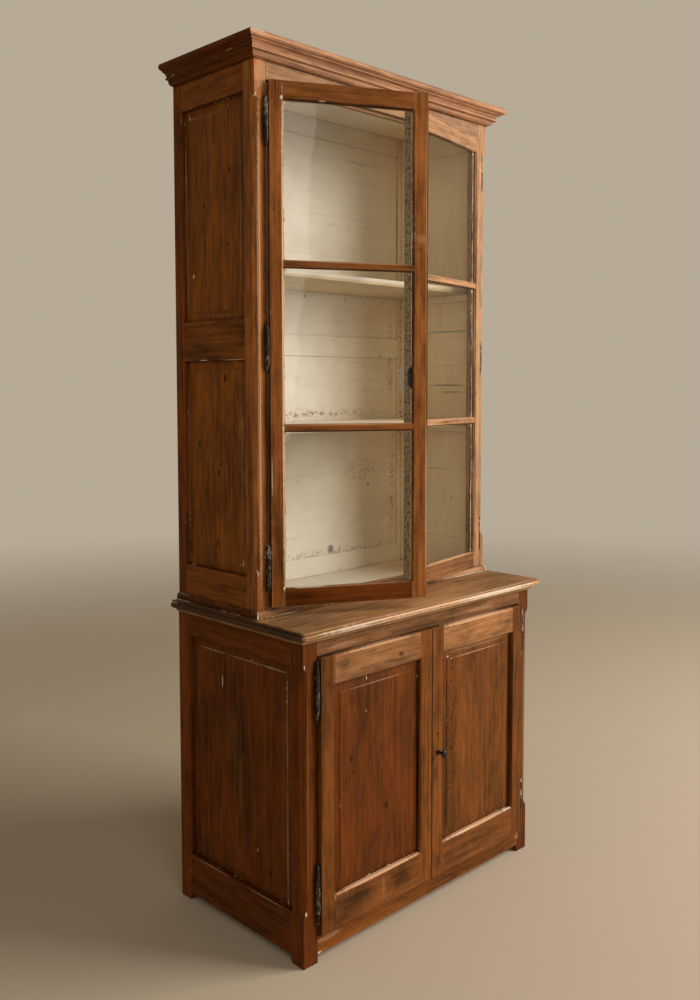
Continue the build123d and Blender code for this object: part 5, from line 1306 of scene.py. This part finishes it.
def putty_frame(low_x, high_x, low_z, high_z, seed):
    """A sloping fillet of putty behind one pane, in its rebate, on a shut left door's place."""
    width, height = high_x - low_x, high_z - low_z
    room = GLASS_REBATE - PUTTY_PLAY
    bpy.ops.mesh.primitive_plane_add(size=1.0, location=((low_x + high_x) / 2, GLASS_BACK + PUTTY_BED,
                                                         (low_z + high_z) / 2), rotation=(math.pi / 2, 0, 0))
    frame_piece = bpy.context.active_object
    edit(True)
    bpy.ops.mesh.select_all(action="SELECT")
    bpy.ops.transform.resize(value=(width + 2 * room, 1.0, height + 2 * room))
    edit(False)
    bpy.ops.object.transform_apply(location=True, rotation=True, scale=True)
    edit(True)
    bpy.ops.mesh.select_all(action="SELECT")
    bpy.ops.mesh.inset(thickness=room - PUTTY_LIP)
    bpy.ops.mesh.delete(type="FACE")
    bpy.ops.mesh.select_all(action="SELECT")
    draw_out(0, GLAZED_BACK - GLASS_BACK - PUTTY_SINK, 0)
    centre = Vector(((low_x + high_x) / 2, 0, (low_z + high_z) / 2))

    def inner(vert):
        place = vert.co - centre
        return abs(place.x) < width / 2 + room / 2 and abs(place.z) < height / 2 + room / 2

    pick("verts", lambda vert: inner(vert) and vert.co.y > GLASS_BACK + 0.004)
    bpy.ops.transform.resize(value=((width + 1.7 * room) / width, 1, (height + 1.7 * room) / height))
    pick("edges", lambda edge: abs(edge.verts[0].co.y - edge.verts[1].co.y) < 0.0001
         and max(abs(edge.verts[0].co.x - edge.verts[1].co.x), abs(edge.verts[0].co.z - edge.verts[1].co.z)) > 0.1)
    bpy.ops.mesh.subdivide(number_cuts=PUTTY_CUTS)
    pick("verts", lambda vert: inner(vert))
    bpy.ops.transform.vertex_random(offset=PUTTY_WOBBLE, seed=seed)
    close_up()
    return frame_piece


def paint_trail(x, z_low, z_high, seed):
    """A thin ragged run of old paint on the glass beside a frame edge, upright, on a shut left door."""
    rng = random.Random(seed)
    bpy.ops.mesh.primitive_grid_add(x_subdivisions=2, y_subdivisions=TRAIL_STEPS, size=1.0,
                                    location=(x, GLASS_FRONT - TRAIL_GAP, (z_low + z_high) / 2),
                                    rotation=(math.pi / 2, 0, 0))
    trail = bpy.context.active_object
    edit(True)
    bpy.ops.mesh.select_all(action="SELECT")
    bpy.ops.transform.resize(value=(TRAIL_WIDTH, 1.0, z_high - z_low))
    edit(False)
    bpy.ops.object.transform_apply(location=True, rotation=True, scale=True)
    edge = max(vert.co.x for vert in trail.data.vertices)
    wander = 0.0
    for vert in sorted((v for v in trail.data.vertices if edge - v.co.x < 0.0001), key=lambda v: v.co.z):
        wander = 0.6 * wander + rng.uniform(-0.0016, 0.0013)
        vert.co.x += wander
    thicken = trail.modifiers.new("thickness", "SOLIDIFY")
    thicken.thickness = TRAIL_THICK
    thicken.offset = 0
    bpy.ops.object.modifier_apply(modifier=thicken.name)
    return trail


def paint_drop(x, z, size, seed):
    """A flat blob of old paint on the glass."""
    bpy.ops.mesh.primitive_ico_sphere_add(subdivisions=2, radius=0.001, location=(x, GLASS_FRONT - DROP_GAP, z))
    drop = bpy.context.active_object
    edit(True)
    bpy.ops.mesh.select_all(action="SELECT")
    bpy.ops.transform.vertex_random(offset=0.0002, seed=seed)
    bpy.ops.transform.resize(value=[1000.0 * length for length in size])
    edit(False)
    return drop


def worn_paint(name, turn):
    """Old cream paint with dirt in it, for what ran on the glass."""
    graph, surface, material = new_material(name)
    place = mapped(graph, turn)
    patch = graph.noise(place, 110.0, 3.0, 0.65)
    colour = graph.mix(graph.ramp(patch, 0.50, 0.72), TRAIL_PAINT, TRAIL_DIRT)
    graph.feed(colour, surface.inputs["Base Color"])
    graph.feed(graph.ramp(patch, 0.3, 0.7, 0.6, 0.85), surface.inputs["Roughness"])
    bump = graph.add("ShaderNodeBump", {"Height": patch, "Distance": 0.0005, "Strength": 0.6})
    graph.feed(bump.outputs[0], surface.inputs["Normal"])
    return material


def make_glazing():
    """The putty behind the panes, and the paint that ran and dropped on the glass."""
    low_x, high_x = -PANE_SPAN[1], -PANE_SPAN[0]
    for side, turn, swing in (("left", LEFT_GLAZED, LEFT_GLAZED.inverted()),
                              ("right", RIGHT_GLAZED, RIGHT_GLAZED.inverted() @ MIRRORED)):
        body = side + "_glazed_door"
        frames = [putty_frame(low_x, high_x, low_z, high_z, seed)
                  for seed, (low_z, high_z) in enumerate(PANE_ROWS)]
        putty = joined(frames, side + "_putty_pattern", None)
        piece = copied(putty, swing)
        bpy.data.objects.remove(putty)
        keep(settled(piece, side + "_glazing_putty", old_putty(side + " glazing putty", turn)), body,
             "cream_painted_wood")
        trails = [paint_trail(low_x + TRAIL_WIDTH / 2, low_z + 0.001, high_z - 0.001, seed)
                  for seed, (low_z, high_z) in enumerate(PANE_ROWS)]
        for seed, (low_z, high_z) in enumerate(PANE_ROWS):
            trails.append(paint_drop(low_x + 0.004, high_z - 0.005, UPPER_DROP, seed))
            trails.append(paint_drop(low_x + 0.003, low_z + 0.004, LOWER_DROP, seed + LOWER_DROP_SEED))
        pattern = joined(trails, side + "_trail_pattern", None)
        piece = copied(pattern, swing)
        bpy.data.objects.remove(pattern)
        keep(settled(piece, side + "_glass_paint_trails", worn_paint(side + " glass paint", turn)), body,
             "cream_painted_wood")


make_stop_laths()
make_hinges()
make_knob()
make_glazing()


# Studio

FLOOR_COLOUR = (0.60, 0.52, 0.42)
BACKDROP_COLOUR = (0.47, 0.405, 0.31)
ROOM_LIGHT = (0.215, 0.174, 0.122)
FLOOR_FADE = (2.2, 7.0)
KEY_POWER = 262.0
FILL_POWER = 42.0
AIM = (0.0, 0.0, 1.1)


def make_floor():
    """A pale floor that fades into the backdrop."""
    bpy.ops.mesh.primitive_plane_add(size=30.0, location=(0.0, 0.0, 0.0))
    floor = bpy.context.active_object
    floor.name = "floor"
    graph, surface, material = new_material("pale floor")
    place = graph.add("ShaderNodeTexCoord").outputs["Object"]
    mottle = graph.ramp(graph.noise(place, 3.0, 3.0), 0.3, 0.7, 0.0, 0.06)
    darker = tuple(channel * 0.9 for channel in FLOOR_COLOUR)
    graph.feed(graph.mix(mottle, FLOOR_COLOUR, darker), surface.inputs["Base Color"])
    surface.inputs["Roughness"].default_value = 0.85
    surface.inputs["Specular IOR Level"].default_value = 0.1
    x, y, _ = graph.parts(place)
    far = graph.math("SQRT", graph.total(graph.product(x, x), graph.product(y, y)))
    graph.feed(graph.ramp(far, *FLOOR_FADE, 1.0, 0.0), surface.inputs["Alpha"])
    floor.data.materials.append(material)


def soft_light(name, place, aim, size, power, colour):
    """A large soft square light."""
    data = bpy.data.lights.new(name, "AREA")
    data.shape = "RECTANGLE"
    data.size, data.size_y = size
    data.energy = power
    data.color = colour
    light = bpy.data.objects.new(name, data)
    bpy.context.scene.collection.objects.link(light)
    light.location = place
    light.rotation_euler = (Vector(aim) - Vector(place)).to_track_quat("-Z", "Y").to_euler()
    return light


def make_lights():
    """A warm key light from the right, a weak fill from the left and a dim room."""
    soft_light("key light", (3.1, -3.3, 2.9), AIM, (3.0, 3.0), KEY_POWER, (1.0, 0.90, 0.77))
    fill = soft_light("fill light", (-2.4, -3.8, 2.2), AIM, (2.5, 2.5), FILL_POWER, (1.0, 0.92, 0.82))
    fill.visible_glossy = False
    world = bpy.data.worlds.new("studio")
    bpy.context.scene.world = world
    world.use_nodes = True
    graph = Graph(world.node_tree)
    world.node_tree.nodes.clear()
    seen = graph.add("ShaderNodeLightPath").outputs["Is Camera Ray"]
    colour = graph.mix(seen, ROOM_LIGHT, BACKDROP_COLOUR)
    background = graph.add("ShaderNodeBackground", {"Color": colour, "Strength": 1.0})
    output = graph.add("ShaderNodeOutputWorld")
    graph.feed(background.outputs[0], output.inputs["Surface"])


# The photograph's place: yaw and pitch in radians, the lens for a 36 mm long side
CAMERA_PLACE = (-1.937, -1.89725, 1.3812)
CAMERA_YAW = 0.7783
CAMERA_PITCH = 0.0651
CAMERA_ROLL = -0.0011
CAMERA_LENS = 35.34
CAMERA_RISE = -0.0507


def make_camera():
    """The camera at the photograph's place."""
    data = bpy.data.cameras.new("camera")
    data.sensor_width = 36.0
    data.lens = CAMERA_LENS
    data.shift_y = CAMERA_RISE
    camera = bpy.data.objects.new("camera", data)
    bpy.context.scene.collection.objects.link(camera)
    camera.location = CAMERA_PLACE
    turn = Matrix.Rotation(-CAMERA_YAW, 3, "Z") @ Matrix.Rotation(math.pi / 2 - CAMERA_PITCH, 3, "X")
    camera.rotation_euler = (turn @ Matrix.Rotation(CAMERA_ROLL, 3, "Z")).to_euler()
    bpy.context.scene.camera = camera


make_floor()
make_lights()
make_camera()
bpy.context.scene.view_settings.view_transform = "Standard"
